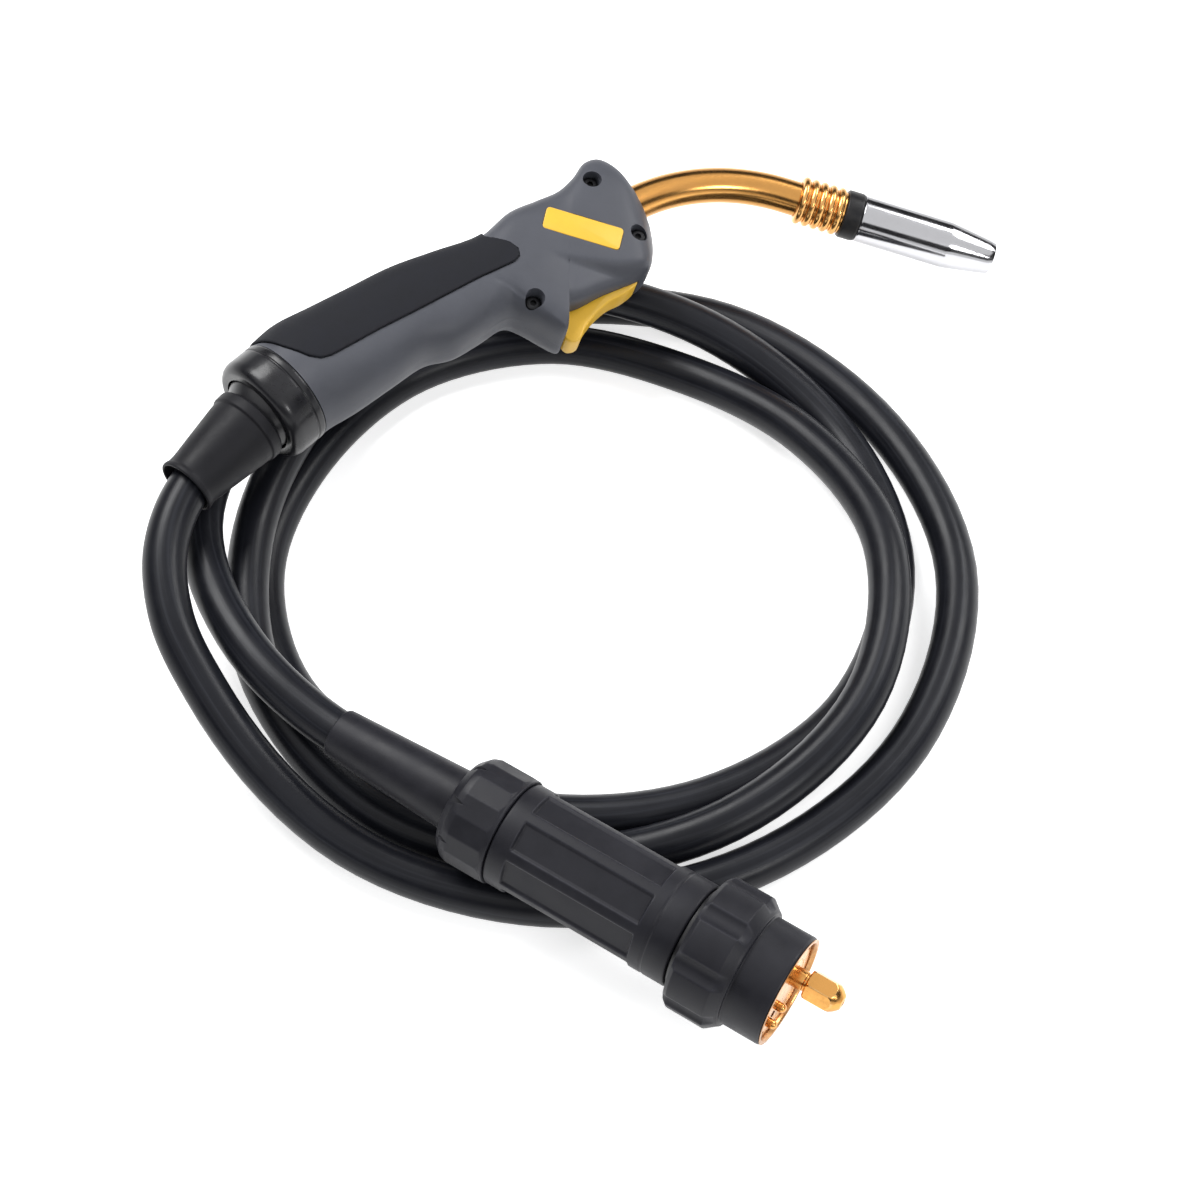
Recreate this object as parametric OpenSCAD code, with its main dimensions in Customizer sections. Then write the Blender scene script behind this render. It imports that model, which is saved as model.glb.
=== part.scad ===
// MIG welding torch with its coiled cable and central machine plug.
// Row frame: the origin is the wire inlet at the tip of the plug's liner nut,
// +X runs out of the plug along its axis, +Z is up, and the torch lies on its own coil.

/* [Cable] */
// outside diameter of the coaxial cable
cable_d = 17; // [15:0.1:17.2]
// radius of the conductor core inside the plug
core_r = 6.8; // [4:0.1:6.9]

/* [Torch head] */
// outside diameter of the gas nozzle
nozzle_d = 20.7; // [20.2:0.1:24]
// outside diameter of the nozzle at its mouth
nozzle_mouth_d = 14.4; // [13.6:0.1:18]
// length of the gas nozzle
nozzle_len = 60.5; // [58:0.1:66]
// length of the nozzle's tapered front
nozzle_taper = 21; // [12:0.5:30]
// inside radius of the nozzle where it slides on the head
nozzle_bore_r = 8.75; // [8.74:0.01:8.8]
// wire bore radius of the contact tip
tip_bore_r = 0.6; // [0.4:0.05:0.9]
// distance of the contact tip behind the nozzle mouth
tip_recess = 3; // [1:0.5:6]
// outside radius of the contact tip
tip_r = 3; // [2.8:0.1:3.6]
// outside diameter of the insulating ring and ribbed head
head_d = 20.8; // [20:0.1:24]
// gas outlet hole radius in the diffuser
gas_hole_r = 1; // [0.6:0.1:1.4]

/* [Swan neck] */
// outside radius of the swan neck tube
neck_r = 7.5; // [7:0.05:7.55]
// bore radius of the swan neck tube
neck_bore_r = 3.6; // [3.2:0.1:4.6]
// outside radius of the wire liner
liner_r = 2.3; // [1.8:0.05:2.35]
// bore radius of the wire liner
liner_bore_r = 1; // [0.7:0.05:1.4]

/* [Handle] */
// wall thickness of the handle shells
shell_wall = 2.4; // [1.8:0.1:3]
// raised thickness of the soft grip pad
pad_t = 1; // [0.6:0.1:2]
// width of the trigger
trigger_w = 11; // [8:0.5:12]
// radius of the trigger's pin
trigger_pin_r = 1.2; // [0.9:0.05:1.25]
// radius of the handle screw heads
screw_head_r = 3.2; // [2.4:0.1:3.6]
// length of the label plates
label_len = 33; // [24:0.5:36]
// height of the label plates
label_h = 10.5; // [7:0.5:11]

/* [Ball joint and boot] */
// outside radius of the handle's rear collar
collar_r = 22.5; // [21.5:0.1:24]
// radius of the ball
ball_r = 17.5; // [17:0.1:17.6]
// outside radius of the boot at its ring
boot_ring_r = 16; // [15:0.1:16.3]
// outside radius of the boot at its mouth
boot_lip_r = 12.2; // [11.6:0.1:13]

/* [Plug] */
// outside radius of the plug housing
housing_r = 20.2; // [19.6:0.1:21]
// outside radius of the cap nut
cap_r = 21.5; // [20.5:0.1:21.6]
// depth of the flat channels in the housing
channel_depth = 1.6; // [0.8:0.1:1.9]
// outside radius of the ring nut over its lobes
ring_nut_r = 26; // [25:0.1:28]
// depth of the grooves between the lobes
groove_depth = 1.6; // [0.8:0.1:2.4]
// outside radius of the brass plug body
plug_body_r = 17.2; // [16.6:0.1:17.2]
// radius of the central pin's shaft
pin_r = 3.75; // [3.2:0.05:4.2]
// width across the flats of the liner nut
liner_nut_af = 10.4; // [8.6:0.1:12]
// radius of the wire inlet in the liner nut
wire_inlet_r = 1; // [0.8:0.05:1.4]
// radius of the two sprung contact pins
contact_r = 1.75; // [1.2:0.05:1.77]

/* [Hidden] */

floor_z = -39;
e = 0.01;
$fn = 48;

// ---- frames ----
plug_at = [-18, -5.6, -2.1];
torch_at = [-118, 344, -15.4];
torch_turn = [9, 13.3, 22.2];
neck_end = [-155.1, -24.9, 0];
neck_bend = 85;
collar_rear = [-280.3, -169.8, 0];
ball_at = [-276.2, -162.9, 0];
boot_angle = 244.1;
boot_len = 50.4;
pin_off = [-2.1, 5.6];
clip_z = 4.5 - nozzle_len;
contact_off = [[2.1, -5.6], [4.4, -11.7]];

module at_plug() translate(plug_at) rotate([0, 90, 0]) children();
module at_torch() translate(torch_at) rotate(torch_turn) children();
module on_wire() at_torch() rotate([0, 90, 0]) children();
module at_neck() at_torch() translate(neck_end) rotate([0, 0, 45]) rotate([0, 90, 0]) children();
module at_collar() at_torch() translate(collar_rear) rotate([0, 0, 239]) rotate([0, 90, 0]) children();
module in_boot() translate(ball_at) rotate([0, 0, boot_angle]) rotate([0, 90, 0]) children();
module at_boot() at_torch() in_boot() children();

// ---- cable route: polar stations every 30 degrees round the coil, radius and lift ----
coil = [-196.5, 114.5];
coil_a0 = 242.5;
coil_r = [148.6, 148, 149, 154, 161, 164, 156, 149, 139, 130, 119, 119,
          126, 129, 130.4, 137, 140, 133, 120.5, 115.5, 117, 117, 114, 116,
          115, 109, 111.8, 121, 133, 139, 138, 132, 131, 141, 137.5, 137, 127];
coil_u = [30.4, 8, 0, 0, 0, 0, 0, 0, 0, 12, 17.3, 17.8,
          15.3, 1, 0, 9.5, 17, 18.5, 10, 0, 0, 0, 0, 0,
          0, 0, 0, 0, 0, 0, 0, 13, 22.6, 26, 24.3, 31, 33.5];
lay_z = floor_z + 6.8;
plug_rear = [-211.5, -5.6, -2.1];
lead_in = [[-314.4, 61, 22.3], [-315, 53, 22], [-314.8, 41.2, 21.1], [-307.5, 17.3, 16.9], [-289.7,
  -3.7, 9.1]];
lead_out = [plug_rear, plug_rear + [17, 0, 0]];
stations = concat(lead_in,
  [for (i = [0:len(coil_r) - 1])
    let (a = coil_a0 + 30 * i)
    [coil[0] + coil_r[i] * cos(a), coil[1] + coil_r[i] * sin(a), lay_z + coil_u[i]]],
  lead_out);
ns = len(stations);
function at(p, i) = i < 0 ? 2 * p[0] - p[1] : i >= len(p) ? 2 * p[len(p) - 1] - p[len(p) - 2] : p[i];
function curve(p0, p1, p2, p3, t) = 0.5 * (2 * p1 + (p2 - p0) * t
  + (2 * p0 - 5 * p1 + 4 * p2 - p3) * t * t + (3 * p1 - p0 - 3 * p2 + p3) * t * t * t);
function smooth(p, n) = concat(
  [for (i = [0:len(p) - 2]) for (k = [0:n - 1])
    curve(at(p, i - 1), at(p, i), at(p, i + 1), at(p, i + 2), k / n)],
  [p[len(p) - 1]]);
// a curve through the stations that stays even where their spacing changes
function wire(p0, p1, p2, p3, t) = let (a = norm(p1 - p0), b = norm(p2 - p1), c = norm(p3 - p2),
    m = b * ((p1 - p0) / a * b + (p2 - p1) / b * a) / (a + b),
    n = b * ((p2 - p1) / b * c + (p3 - p2) / c * b) / (b + c), h = t * t * (3 - 2 * t))
  p1 * (1 - h) + p2 * h + m * t * (1 - t) * (1 - t) - n * t * t * (1 - t);
path = concat([for (i = [0:ns - 2]) for (k = [0:2])
    wire(at(stations, i - 1), stations[i], stations[i + 1], at(stations, i + 2), k / 3)],
    [stations[ns - 1]]);
np = len(path);
sides = 12;
function unit(v) = v / norm(v);
function tangent(i) = unit(at(path, i + 1) - at(path, i - 1));
function ring(i) = let (t = i == 0 ? unit(path[1] - path[0]) : i == np - 1 ? unit(path[i] - path[i -
  1]) : tangent(i),
    s = unit(cross(t, [0, 0, 1])), u = cross(s, t))
  [for (k = [0:sides - 1]) let (q = path[i] + cable_d / 2 * (cos(360 * k / sides) * s + sin(360 * k /
    sides) * u))
    [q[0], q[1], max(q[2], floor_z)]];
seg = [for (i = [1:np - 1]) norm(path[i] - path[i - 1])];
function total(v, i = 0) = i < len(v) ? v[i] + total(v, i + 1) : 0;
echo(cable_length = total(seg));
echo(cable_least_gap = min([for (i = [0:np - 1]) for (j = [i + 4:1:np - 1]) norm(path[i] - path[j])]) -
  cable_d);

// ---- handle stations: back point, belly point, half thickness, squareness ----
shape = [
  [-290.8, -144.7, -253.0, -167.3, 22.0, 2.0],
  [-284.3, -133.3, -250.0, -163.0, 21.0, 2.1],
  [-273.6, -122.0, -242.6, -153.9, 19.5, 2.3],
  [-261.1, -108.8, -232.2, -139.2, 18.0, 2.5],
  [-247.2, -93.9, -222.4, -126.0, 17.2, 2.6],
  [-232.2, -81.2, -211.6, -118.6, 17.0, 2.7],
  [-216.2, -68.4, -202.0, -106.9, 17.3, 2.9],
  [-206.9, -53.2, -194.5, -98.5, 17.8, 3.2],
  [-197.4, -44.2, -184.5, -99.0, 17.9, 3.5],
  [-189.4, -36.4, -171.3, -101.4, 17.4, 3.8],
  [-184.7, -27.9, -173.6, -91.5, 17.4, 3.8],
  [-182.0, -19.6, -167.8, -85.3, 17.4, 3.8],
  [-176.4, -15.6, -159.7, -76.6, 17.2, 3.8],
  [-168.6, -17.6, -148.2, -66.4, 16.4, 3.8],
  [-161.0, -22.6, -144.6, -61.5, 14.2, 3.4],
  [-154.4, -28.2, -143.4, -56.0, 10.2, 2.8],
  [-149.6, -33.0, -143.4, -49.0, 4.8, 2.4]];
body = smooth(shape, 2);
nb = len(body);
function sp(x, n) = (x < 0 ? -1 : 1) * pow(abs(x), 2 / n);
function section(s, off, low, a) = let (t = [s[0], s[1], 0], b = [s[2], s[3], 0], d = unit(t - b),
    h = (norm(t - b) + 2 * off - low) / 2, c = (t + b + d * low) / 2)
  c + d * h * sp(cos(a), s[5]) + [0, 0, (s[4] + off) * sp(sin(a), s[5])];
// one closed solid lofted from station i0 to i1, over the angles listed; a cavity runs out past the rear
module loft(off, low, i0, i1, angles) {
  m = len(angles);
  n = i1 - i0 + 1;
  back = off < 0 ? [-1.5, -2.6, 0] : [0, 0, 0];
  pts = [for (i = [i0:i1]) for (a = angles)
    section(body[i], off, low[i - i0], a) + (i == 0 ? back : [0, 0, 0])];
  sidesq = [for (i = [0:n - 2]) for (k = [0:m - 1])
    [i * m + k, (i + 1) * m + k, (i + 1) * m + (k + 1) % m, i * m + (k + 1) % m]];
  caps = [[for (k = [0:m - 1]) k], [for (k = [m - 1:-1:0]) (n - 1) * m + k]];
  polyhedron(points = pts, faces = concat(sidesq, caps), convexity = 6);
}
whole = [for (k = [0:23]) 15 * k + 7.5];
none = [for (i = [0:nb - 1]) 0];
// belly wall left solid under the cavity, thicker at the guard horn
belly = [for (i = [0:nb - 1]) i < 13 ? 0 : i < 16 ? 4 * (i - 12) : i < 20 ? 15 : i < 23 ? 18 : 7];

screws = [[-177.0, -31.0], [-152.3, -48.6], [-187.2, -93.2]];
well_r = 3.7;
well_z = 10.5;
pivot = [-152.0, -64.6];
trigger_shape = [[-149.0, -61.6], [-147.4, -64.6], [-150.6, -71.6], [-156.3, -77.7], [-160.4, -84.5],
  [-163.6, -93.0], [-165.3, -100.2], [-168.3, -101.6], [-171.8, -99.5], [-174.4, -95.5],
  [-175.4, -89.5], [-173.4, -83.0], [-164.0, -74.2], [-156.0, -67.0], [-153.6, -61.6]];
trigger_turn = 7;
switch_at = [-176.6, -77.8];
switch_angle = 129.8;
// the lower label sits further up the side, clear of the cable that the handle rests on
label_at = [[-175.5, -55.6], [-176.5, -47.6]];
label_z = 16.6;
pad_shape = [[-217.0, -62.0], [-213.5, -70.9], [-210.3, -71.7], [-203.2, -72.2], [-199.1, -73.9],
  [-197.8, -77.0], [-199.1, -80.3], [-209.8, -90.6], [-215.4, -96.5], [-242.9, -126.8], [-258.0, -145.2],
  [-262.1, -148.5], [-266.8, -149.4], [-276.7, -148.3], [-284.8, -145.8], [-295, -143], [-305, -125],
  [-230, -45]];

// ---- cable and its two ends ----
module torch_cable() color([0.1, 0.1, 0.11]) {
  pts = [for (i = [0:np - 1]) each ring(i)];
  skin = [for (i = [0:np - 2]) for (k = [0:sides - 1])
    [i * sides + k, i * sides + (k + 1) % sides, (i + 1) * sides + (k + 1) % sides, (i + 1) * sides + k]];
  caps = [[for (k = [sides - 1:-1:0]) k], [for (k = [0:sides - 1]) (np - 1) * sides + k]];
  polyhedron(points = pts, faces = concat(skin, caps), convexity = 10);
}
module cable_boot() color([0.08, 0.08, 0.09]) at_boot() rotate_extrude() polygon([
  [8.9, 24], [12.5, 24], [12.5, 11.8], [boot_ring_r - 0.6, 11.8], [boot_ring_r, 12.6],
  [boot_ring_r, 16.6], [15.2, 17.4], [15, 20], [boot_lip_r - 0.6, boot_len - 4.4],
  [boot_lip_r - 0.4, boot_len - 2], [boot_lip_r, boot_len - 0.6], [boot_lip_r - 0.3, boot_len],
  [boot_lip_r - 1.3, boot_len], [boot_lip_r - 1.8, boot_len - 3.4], [9.6, boot_len - 12], [8.9,
    boot_len - 18]]);
module ball_joint() color([0.09, 0.09, 0.1]) at_boot() difference() {
  union() {
    intersection() {
      sphere(r = ball_r, $fn = 72);
      translate([0, 0, -10]) cylinder(r = 30, h = 21.8);
    }
    translate([0, 0, 4]) cylinder(r = 13.8, h = 7.8);
    translate([0, 0, 11.8]) cylinder(r = 12.4, h = 12);
  }
  translate([0, 0, -11]) cylinder(r = 6.2, h = 60);
}
module cable_core() color([0.7, 0.4, 0.2]) at_plug() translate([0, 0, -176.4]) cylinder(r = core_r, h = 79);

// ---- plug ----
module plug_sleeve() color([0.1, 0.1, 0.11]) at_plug() rotate_extrude() polygon([
  [9.1, -193], [9.2, -193.5], [9.5, -193.3], [9.7, -191.5], [12.2, -137.8], [12.2, -134.4], [14.5, -134.4],
  [14.5, -131], [7.1, -131], [7.1, -176], [8.6, -176], [8.7, -182]]);
module cap_nut() color([0.16, 0.16, 0.18]) at_plug() difference() {
  rotate_extrude() polygon([
    [12.6, -137.8], [18.2, -137.8], [cap_r, -134.6], [cap_r, -116.6], [cap_r - 0.7, -115.9], [18.2, -115.9],
    [18.2, -134.4], [12.6, -134.4]]);
  for (k = [0:7]) rotate([0, 0, 45 * k + 22.5]) translate([cap_r + 0.5, 0, -136.2])
    rotate([90, 0, 90]) cylinder(r = 2.4, h = 2.4, center = true, $fn = 3);
}
module plug_housing() color([0.15, 0.15, 0.17]) at_plug() difference() {
  rotate_extrude() polygon([
    [16.8, -125], [18, -125], [18, -115.7], [housing_r - 0.5, -115.7], [housing_r, -115.2],
    [housing_r, -40], [housing_r - 0.5, -39.5], [17.5, -39.5], [17.5, -114], [16.8, -114]]);
  for (k = [0:7]) rotate([0, 0, 45 * k + 22.5])
    translate([housing_r - channel_depth, -5.5, -107.8]) cube([6, 11, 53]);
}
module plug_crimp() color([0.8, 0.62, 0.3]) at_plug() difference() {
  translate([0, 0, -108]) cylinder(r = 8.8, h = 40);
  translate([0, 0, -109]) cylinder(r = core_r + 0.05, h = 11.65);
  translate([0, 0, -78]) cylinder(r = 6.5, h = 11);
  translate([0, 0, -99]) cylinder(r = 1.4, h = 40);
}
module plug_collar() color([0.1, 0.1, 0.11]) at_plug() difference() {
  union() {
    translate([0, 0, -39.4]) cylinder(r = 19, h = 2.1);
    translate([0, 0, -47]) cylinder(r = 17.4, h = 7.6);
  }
  translate([0, 0, -50]) cylinder(r = 15.4, h = 20);
}
module seal_ring() color([0.5, 0.15, 0.1]) at_plug() translate([0, 0, -43]) rotate_extrude()
  translate([14.6, 0]) circle(r = 0.75, $fn = 24);
module plug_body() color([0.83, 0.64, 0.3]) at_plug() difference() {
  rotate_extrude() polygon([[0, -76], [6.4, -76], [6.4, -56], [13.9, -56], [13.9, -44], [13.7, -43.8],
    [13.7, -42.2], [15.3, -42],
    [15.3, -36.9], [plug_body_r, -36.9], [plug_body_r, -29.7], [15.9, -29.7], [15.9, -28.3],
    [plug_body_r, -28.3],
    [plug_body_r, -2.3], [plug_body_r - 0.8, -1.5], [0, -1.5]]);
  translate([pin_off[0], pin_off[1], -31]) cylinder(r = pin_r + 0.02, h = 40);
  translate([0, 0, -80]) cylinder(r = 1.4, h = 50);
  translate([pin_off[0] / 2, pin_off[1] / 2, -33]) rotate([0, 0, 110]) cube([9, 2.8, 4.2], center = true);
  for (q = contact_off) translate([q[0], q[1], -24]) cylinder(r = contact_r + 0.05, h = 40);
  translate([3.25, -8.65, -2]) rotate([0, 0, -69]) cube([2.4, 4.2, 6], center = true);
}
module retaining_ring() color([0.75, 0.76, 0.78]) at_plug() difference() {
  translate([0, 0, -29.6]) cylinder(r = 18.5, h = 1.2);
  translate([0, 0, -31]) cylinder(r = 15.95, h = 4);
  translate([10, -2, -31]) cube([12, 4, 4]);
}
module central_pin() color([0.85, 0.66, 0.32]) at_plug() translate([pin_off[0], pin_off[1],
  0]) difference() {
  union() {
    translate([0, 0, -30.9]) cylinder(r = pin_r, h = 34.9);
  }
  translate([0, 0, -32]) cylinder(r = 1.4, h = 40);
}
module liner_nut() color([0.85, 0.66, 0.32]) at_plug() translate([pin_off[0], pin_off[1], 4]) difference() {
  intersection() {
    cylinder(r = liner_nut_af / 2 / cos(30), h = 14, $fn = 6);
    rotate_extrude() polygon([[0, 0], [liner_nut_af / 2 + 0.2, 0], [liner_nut_af / 2 + 0.7, 0.6],
      [liner_nut_af / 2 + 0.7, 10.4], [2.6, 14], [0, 14]]);
  }
  translate([0, 0, -1]) cylinder(r = wire_inlet_r, h = 20);
}
module contact_pin(q) color([0.88, 0.7, 0.38]) at_plug() translate([q[0], q[1], 0]) {
  translate([0, 0, -14]) cylinder(r = contact_r, h = 14.2);
  translate([0, 0, 0.2]) sphere(r = contact_r, $fn = 36);
}
module contact_pin_upper() contact_pin(contact_off[0]);
module contact_pin_lower() contact_pin(contact_off[1]);
module contact_spring(q) color([0.75, 0.76, 0.78]) at_plug() translate([q[0], q[1], -23.6])
  for (k = [0:5]) translate([0, 0, k * 1.05]) rotate_extrude($fn = 24) translate([1.1,
    0]) circle(r = 0.3, $fn = 16);
module contact_spring_upper() contact_spring(contact_off[0]);
module contact_spring_lower() contact_spring(contact_off[1]);
module ring_nut() color([0.15, 0.15, 0.17]) at_plug() difference() {
  rotate_extrude($fn = 96) polygon([[19.4, -37], [ring_nut_r - 1.2, -37], [ring_nut_r, -35.8],
    [ring_nut_r, -19.5],
    [ring_nut_r - 2.4, -16], [21.15, -16], [21.15, -0.3], [20.2, -0.3], [20.2, -18], [18.9, -18],
    [18.9, -30], [17.6, -30], [17.6, -34], [19.4, -34]]);
  for (k = [0:7]) rotate([0, 0, 45 * k]) translate([ring_nut_r + 4.4 - groove_depth, 0,
    -38]) cylinder(r = 4.4, h = 30);
}
module nut_insert() color([0.8, 0.8, 0.82]) at_plug() rotate_extrude() polygon([
  [20.15, -17.9], [20.15, -0.4], [21, 0], [19.3, 0], [18.9, -0.6], [19.4, -2], [18.9, -3], [19.4, -4],
    [18.9, -5], [19.4, -6],
  [18.9, -7], [19.4, -8], [18.9, -9], [19.4, -10], [18.9, -11], [18.9, -17.9]]);

// ---- handle ----
module handle_cuts() {
  at_neck_cut();
  linear_extrude(trigger_w + 0.8, center = true) offset(delta = 0.4) union() {
    polygon(trigger_shape);
    translate(pivot) rotate([0, 0, -trigger_turn - 0.4]) translate(-pivot) polygon(trigger_shape);
    translate(pivot) rotate([0, 0, -trigger_turn / 2]) translate(-pivot) polygon(trigger_shape);
  }
  for (p = screws) translate([p[0], p[1], well_z]) cylinder(r = well_r, h = 20);
  for (p = screws) translate([p[0], p[1], -30]) cylinder(r = 1.7, h = 60);
  for (p = screws) translate([p[0], p[1], -33]) cylinder(r = well_r, h = 20);
  translate([pivot[0], pivot[1], -12]) cylinder(r = trigger_pin_r + 0.06, h = 24);
  translate([pivot[0], pivot[1], trigger_w / 2]) cylinder(r = 2.5, h = 2.4);
  in_switch() translate([-0.3, -7.3, -3.5]) cube([8.6, 14.6, 7]);
  in_switch() translate([-6.5, 0, 0]) rotate([0, 90, 0]) cylinder(r = 1.45, h = 7);
  for (i = [0, 1]) translate([label_at[i][0], label_at[i][1], (1 - 2 * i) * (label_z + 1.4)])
    linear_extrude(4.6, center = true) label_shape(0.1);
}
module at_neck_cut() translate(neck_end) rotate([0, 0, 45]) rotate([0, 90, 0]) {
  translate([0, 0, -30]) cylinder(r = neck_r + 0.12, h = 60);
  translate([0, 0, -46.4]) cylinder(r = 9.3, h = 22.6);
}
// the post round the one screw that crosses the hollow
module post() translate([screws[0][0], screws[0][1], -14]) cylinder(r = well_r + 0.9, h = 28);
module label_shape(g) offset(r = 1.6 + g, $fn = 24) square([label_len - 3.2, label_h - 3.2], center = true);
// one half of the handle: side is 1 above the split and -1 below it
module shell(side) color([0.34, 0.35, 0.38]) at_torch() difference() {
  union() {
    difference() {
      loft(0, none, 0, nb - 1, whole);
      loft(-shell_wall, belly, 0, 24, whole);
    }
    post();
  }
  handle_cuts();
  translate([-320, -200, side > 0 ? -40 : 0]) cube([200, 220, 40]);
}
module handle_shell_upper() shell(1);
module handle_shell_lower() shell(-1);
module grip_pad() color([0.16, 0.16, 0.18]) at_torch() intersection() {
  difference() {
    loft(pad_t, none, 0, 18, whole);
    loft(0, none, 0, 19, whole);
  }
  linear_extrude(80, center = true) polygon(pad_shape);
}
module label_plate(i) color([0.95, 0.78, 0.2]) at_torch() translate([label_at[i][0], label_at[i][1],
  (1 - 2 * i) * label_z]) linear_extrude(1.6, center = true) label_shape(0);
module label_upper() label_plate(0);
module label_lower() label_plate(1);
module handle_screws() color([0.2, 0.2, 0.22]) at_torch() for (p = screws) translate([p[0], p[1], 0]) {
  translate([0, 0, -12]) cylinder(r = 1.6, h = well_z + 12.1);
  translate([0, 0, well_z + 0.1]) difference() {
    cylinder(r = screw_head_r, h = 1.8);
    translate([0, 0, 0.9]) cylinder(r = 1.4, h = 2, $fn = 6);
  }
}
module handle_collar() color([0.05, 0.05, 0.06]) at_collar() rotate_extrude() polygon([
  [18.2, -16.1], [collar_r - 0.6, -16.1], [collar_r, -15.4], [collar_r, -3], [collar_r - 1.2, -1],
    [collar_r - 2.6, 0],
  [16.3, 0], [16.75, -1], [17.35, -3], [17.75, -5.2], [17.95, -8], [18.2, -9]]);
module trigger() color([0.95, 0.76, 0.15]) at_torch() difference() {
  linear_extrude(trigger_w, center = true) polygon(trigger_shape);
  translate([pivot[0], pivot[1], -20]) cylinder(r = trigger_pin_r + 0.06, h = 40);
}
module trigger_pin() color([0.75, 0.76, 0.78]) at_torch() translate([pivot[0], pivot[1],
  -8]) cylinder(r = trigger_pin_r, h = 16);
module trigger_spring() color([0.75, 0.76, 0.78]) at_torch() translate([pivot[0], pivot[1],
  trigger_w / 2 + 0.9]) {
  for (k = [0:1]) translate([0, 0, k * 0.7]) rotate_extrude($fn = 24) translate([1.9,
    0]) circle(r = 0.3, $fn = 16);
}
module in_switch() translate([switch_at[0], switch_at[1], 0]) rotate([0, 0, switch_angle]) children();
module at_switch() at_torch() in_switch() children();
module switch_body() color([0.12, 0.12, 0.13]) at_switch() difference() {
  translate([0, -7, -3.2]) cube([8, 14, 6.4]);
  translate([-1, 0, 0]) rotate([0, 90, 0]) cylinder(r = 1.3, h = 6);
}
module switch_plunger() color([0.85, 0.2, 0.15]) at_switch() translate([-5.9, 0, 0]) rotate([0, 90,
  0]) cylinder(r = 1.25, h = 6.9);
module switch_leads() color([0.7, 0.15, 0.12]) for (s = [-1, 1]) lead(s);
module lead(s) at_switch() translate([8.05, s * 3, 0]) rotate([0, 90, 0]) cylinder(r = 0.7, h = 6);
module neck_nut() color([0.8, 0.62, 0.3]) at_neck() difference() {
  union() {
    translate([0, 0, -46]) cylinder(r = 10 / cos(30), h = 14, $fn = 6);
    translate([0, 0, -32.1]) cylinder(r = 9, h = 8);
  }
  translate([0, 0, -32]) cylinder(r = neck_r, h = 20);
  translate([0, 0, -50]) cylinder(r = 6, h = 30);
}
module cable_fitting() color([0.8, 0.62, 0.3]) at_neck() difference() {
  union() {
    translate([0, 0, -58]) cylinder(r = 6, h = 25.9);
    translate([0, 0, -58]) cylinder(r = 7.4, h = 11.8);
  }
  translate([0, 0, -60]) cylinder(r = 2.6, h = 40);
}

// ---- swan neck and head ----
module pipe_run(r0, r1, x1, p0) {
  translate([x1, 0, 0]) rotate([0, -90, 0]) difference() {
    cylinder(r = r0, h = -95 - x1 < 0 ? x1 + 95 : 1);
    translate([0, 0, -1]) cylinder(r = r1, h = x1 + 97);
  }
  translate([-95, -neck_bend, 0]) rotate([0, 0, 90]) rotate_extrude(angle = 45) translate([neck_bend,
    0]) difference() {
    circle(r = r0);
    circle(r = r1);
  }
  translate(neck_end) rotate([0, 0, 45]) rotate([0, -90, 0]) difference() {
    cylinder(r = r0, h = p0);
    translate([0, 0, -1]) cylinder(r = r1, h = p0 + 2);
  }
}
module swan_neck() color([0.84, 0.64, 0.3]) at_torch() pipe_run(neck_r, neck_bore_r, -74, 32);
module wire_liner() color([0.6, 0.6, 0.62]) at_torch() pipe_run(liner_r, liner_bore_r, -62, 60);
module neck_head() color([0.84, 0.64, 0.3]) on_wire() difference() {
  union() {
    translate([0, 0, -88.4]) cylinder(r = head_d / 2 - 1.5, h = 20.3);
    for (k = [0:4]) translate([0, 0, -86.6 + 4 * k]) rotate_extrude() translate([head_d / 2 - 1.7,
    0]) circle(r = 1.7, $fn = 24);
  }
  translate([0, 0, -90]) cylinder(r = neck_r, h = 16);
  translate([0, 0, -80]) cylinder(r = 6.4, h = 20);
}
module nozzle_insulator() color([0.07, 0.07, 0.08]) on_wire() rotate_extrude() polygon([
  [6.45, -68], [head_d / 2 - 0.4, -68], [head_d / 2, -67.5], [head_d / 2, -nozzle_len - 0.5],
  [head_d / 2 - 0.3, -nozzle_len - 0.1], [8.7, -nozzle_len - 0.1],
  [8.7, clip_z - 0.5], [7.9, clip_z - 0.5], [7.9, clip_z + 0.5], [8.7, clip_z + 0.5], [8.7, clip_z + 5],
  [8.2, clip_z + 5.5], [6.45, clip_z + 5.5]]);
module nozzle_clip() color([0.75, 0.76, 0.78]) on_wire() translate([0, 0, clip_z]) rotate_extrude()
  translate([8.3, 0]) circle(r = 0.38, $fn = 24);
module gas_diffuser() color([0.8, 0.62, 0.3]) on_wire() difference() {
  union() {
    translate([0, 0, -73.9]) cylinder(r = 6.38, h = 23.9);
    translate([0, 0, -50]) cylinder(r = 5.6, h = 6);
  }
  translate([0, 0, -80]) cylinder(r = 2.4, h = 40);
  translate([0, 0, -52]) cylinder(r = 4, h = 20);
  for (k = [0:5]) rotate([0, 0, 60 * k]) translate([0, 0, -47]) rotate([0, 90,
    0]) cylinder(r = gas_hole_r, h = 20);
}
module tip_holder() color([0.84, 0.64, 0.3]) on_wire() difference() {
  union() {
    translate([0, 0, -51.9]) cylinder(r = 3, h = 8);
    translate([0, 0, -43.9]) cylinder(r = 4.8, h = 6);
    translate([0, 0, -37.9]) cylinder(r = 4.2, h = 8, $fn = 6);
  }
  translate([0, 0, -60]) cylinder(r = 1.2, h = 40);
  translate([0, 0, -37]) cylinder(r = 2.5, h = 20);
}
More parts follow.
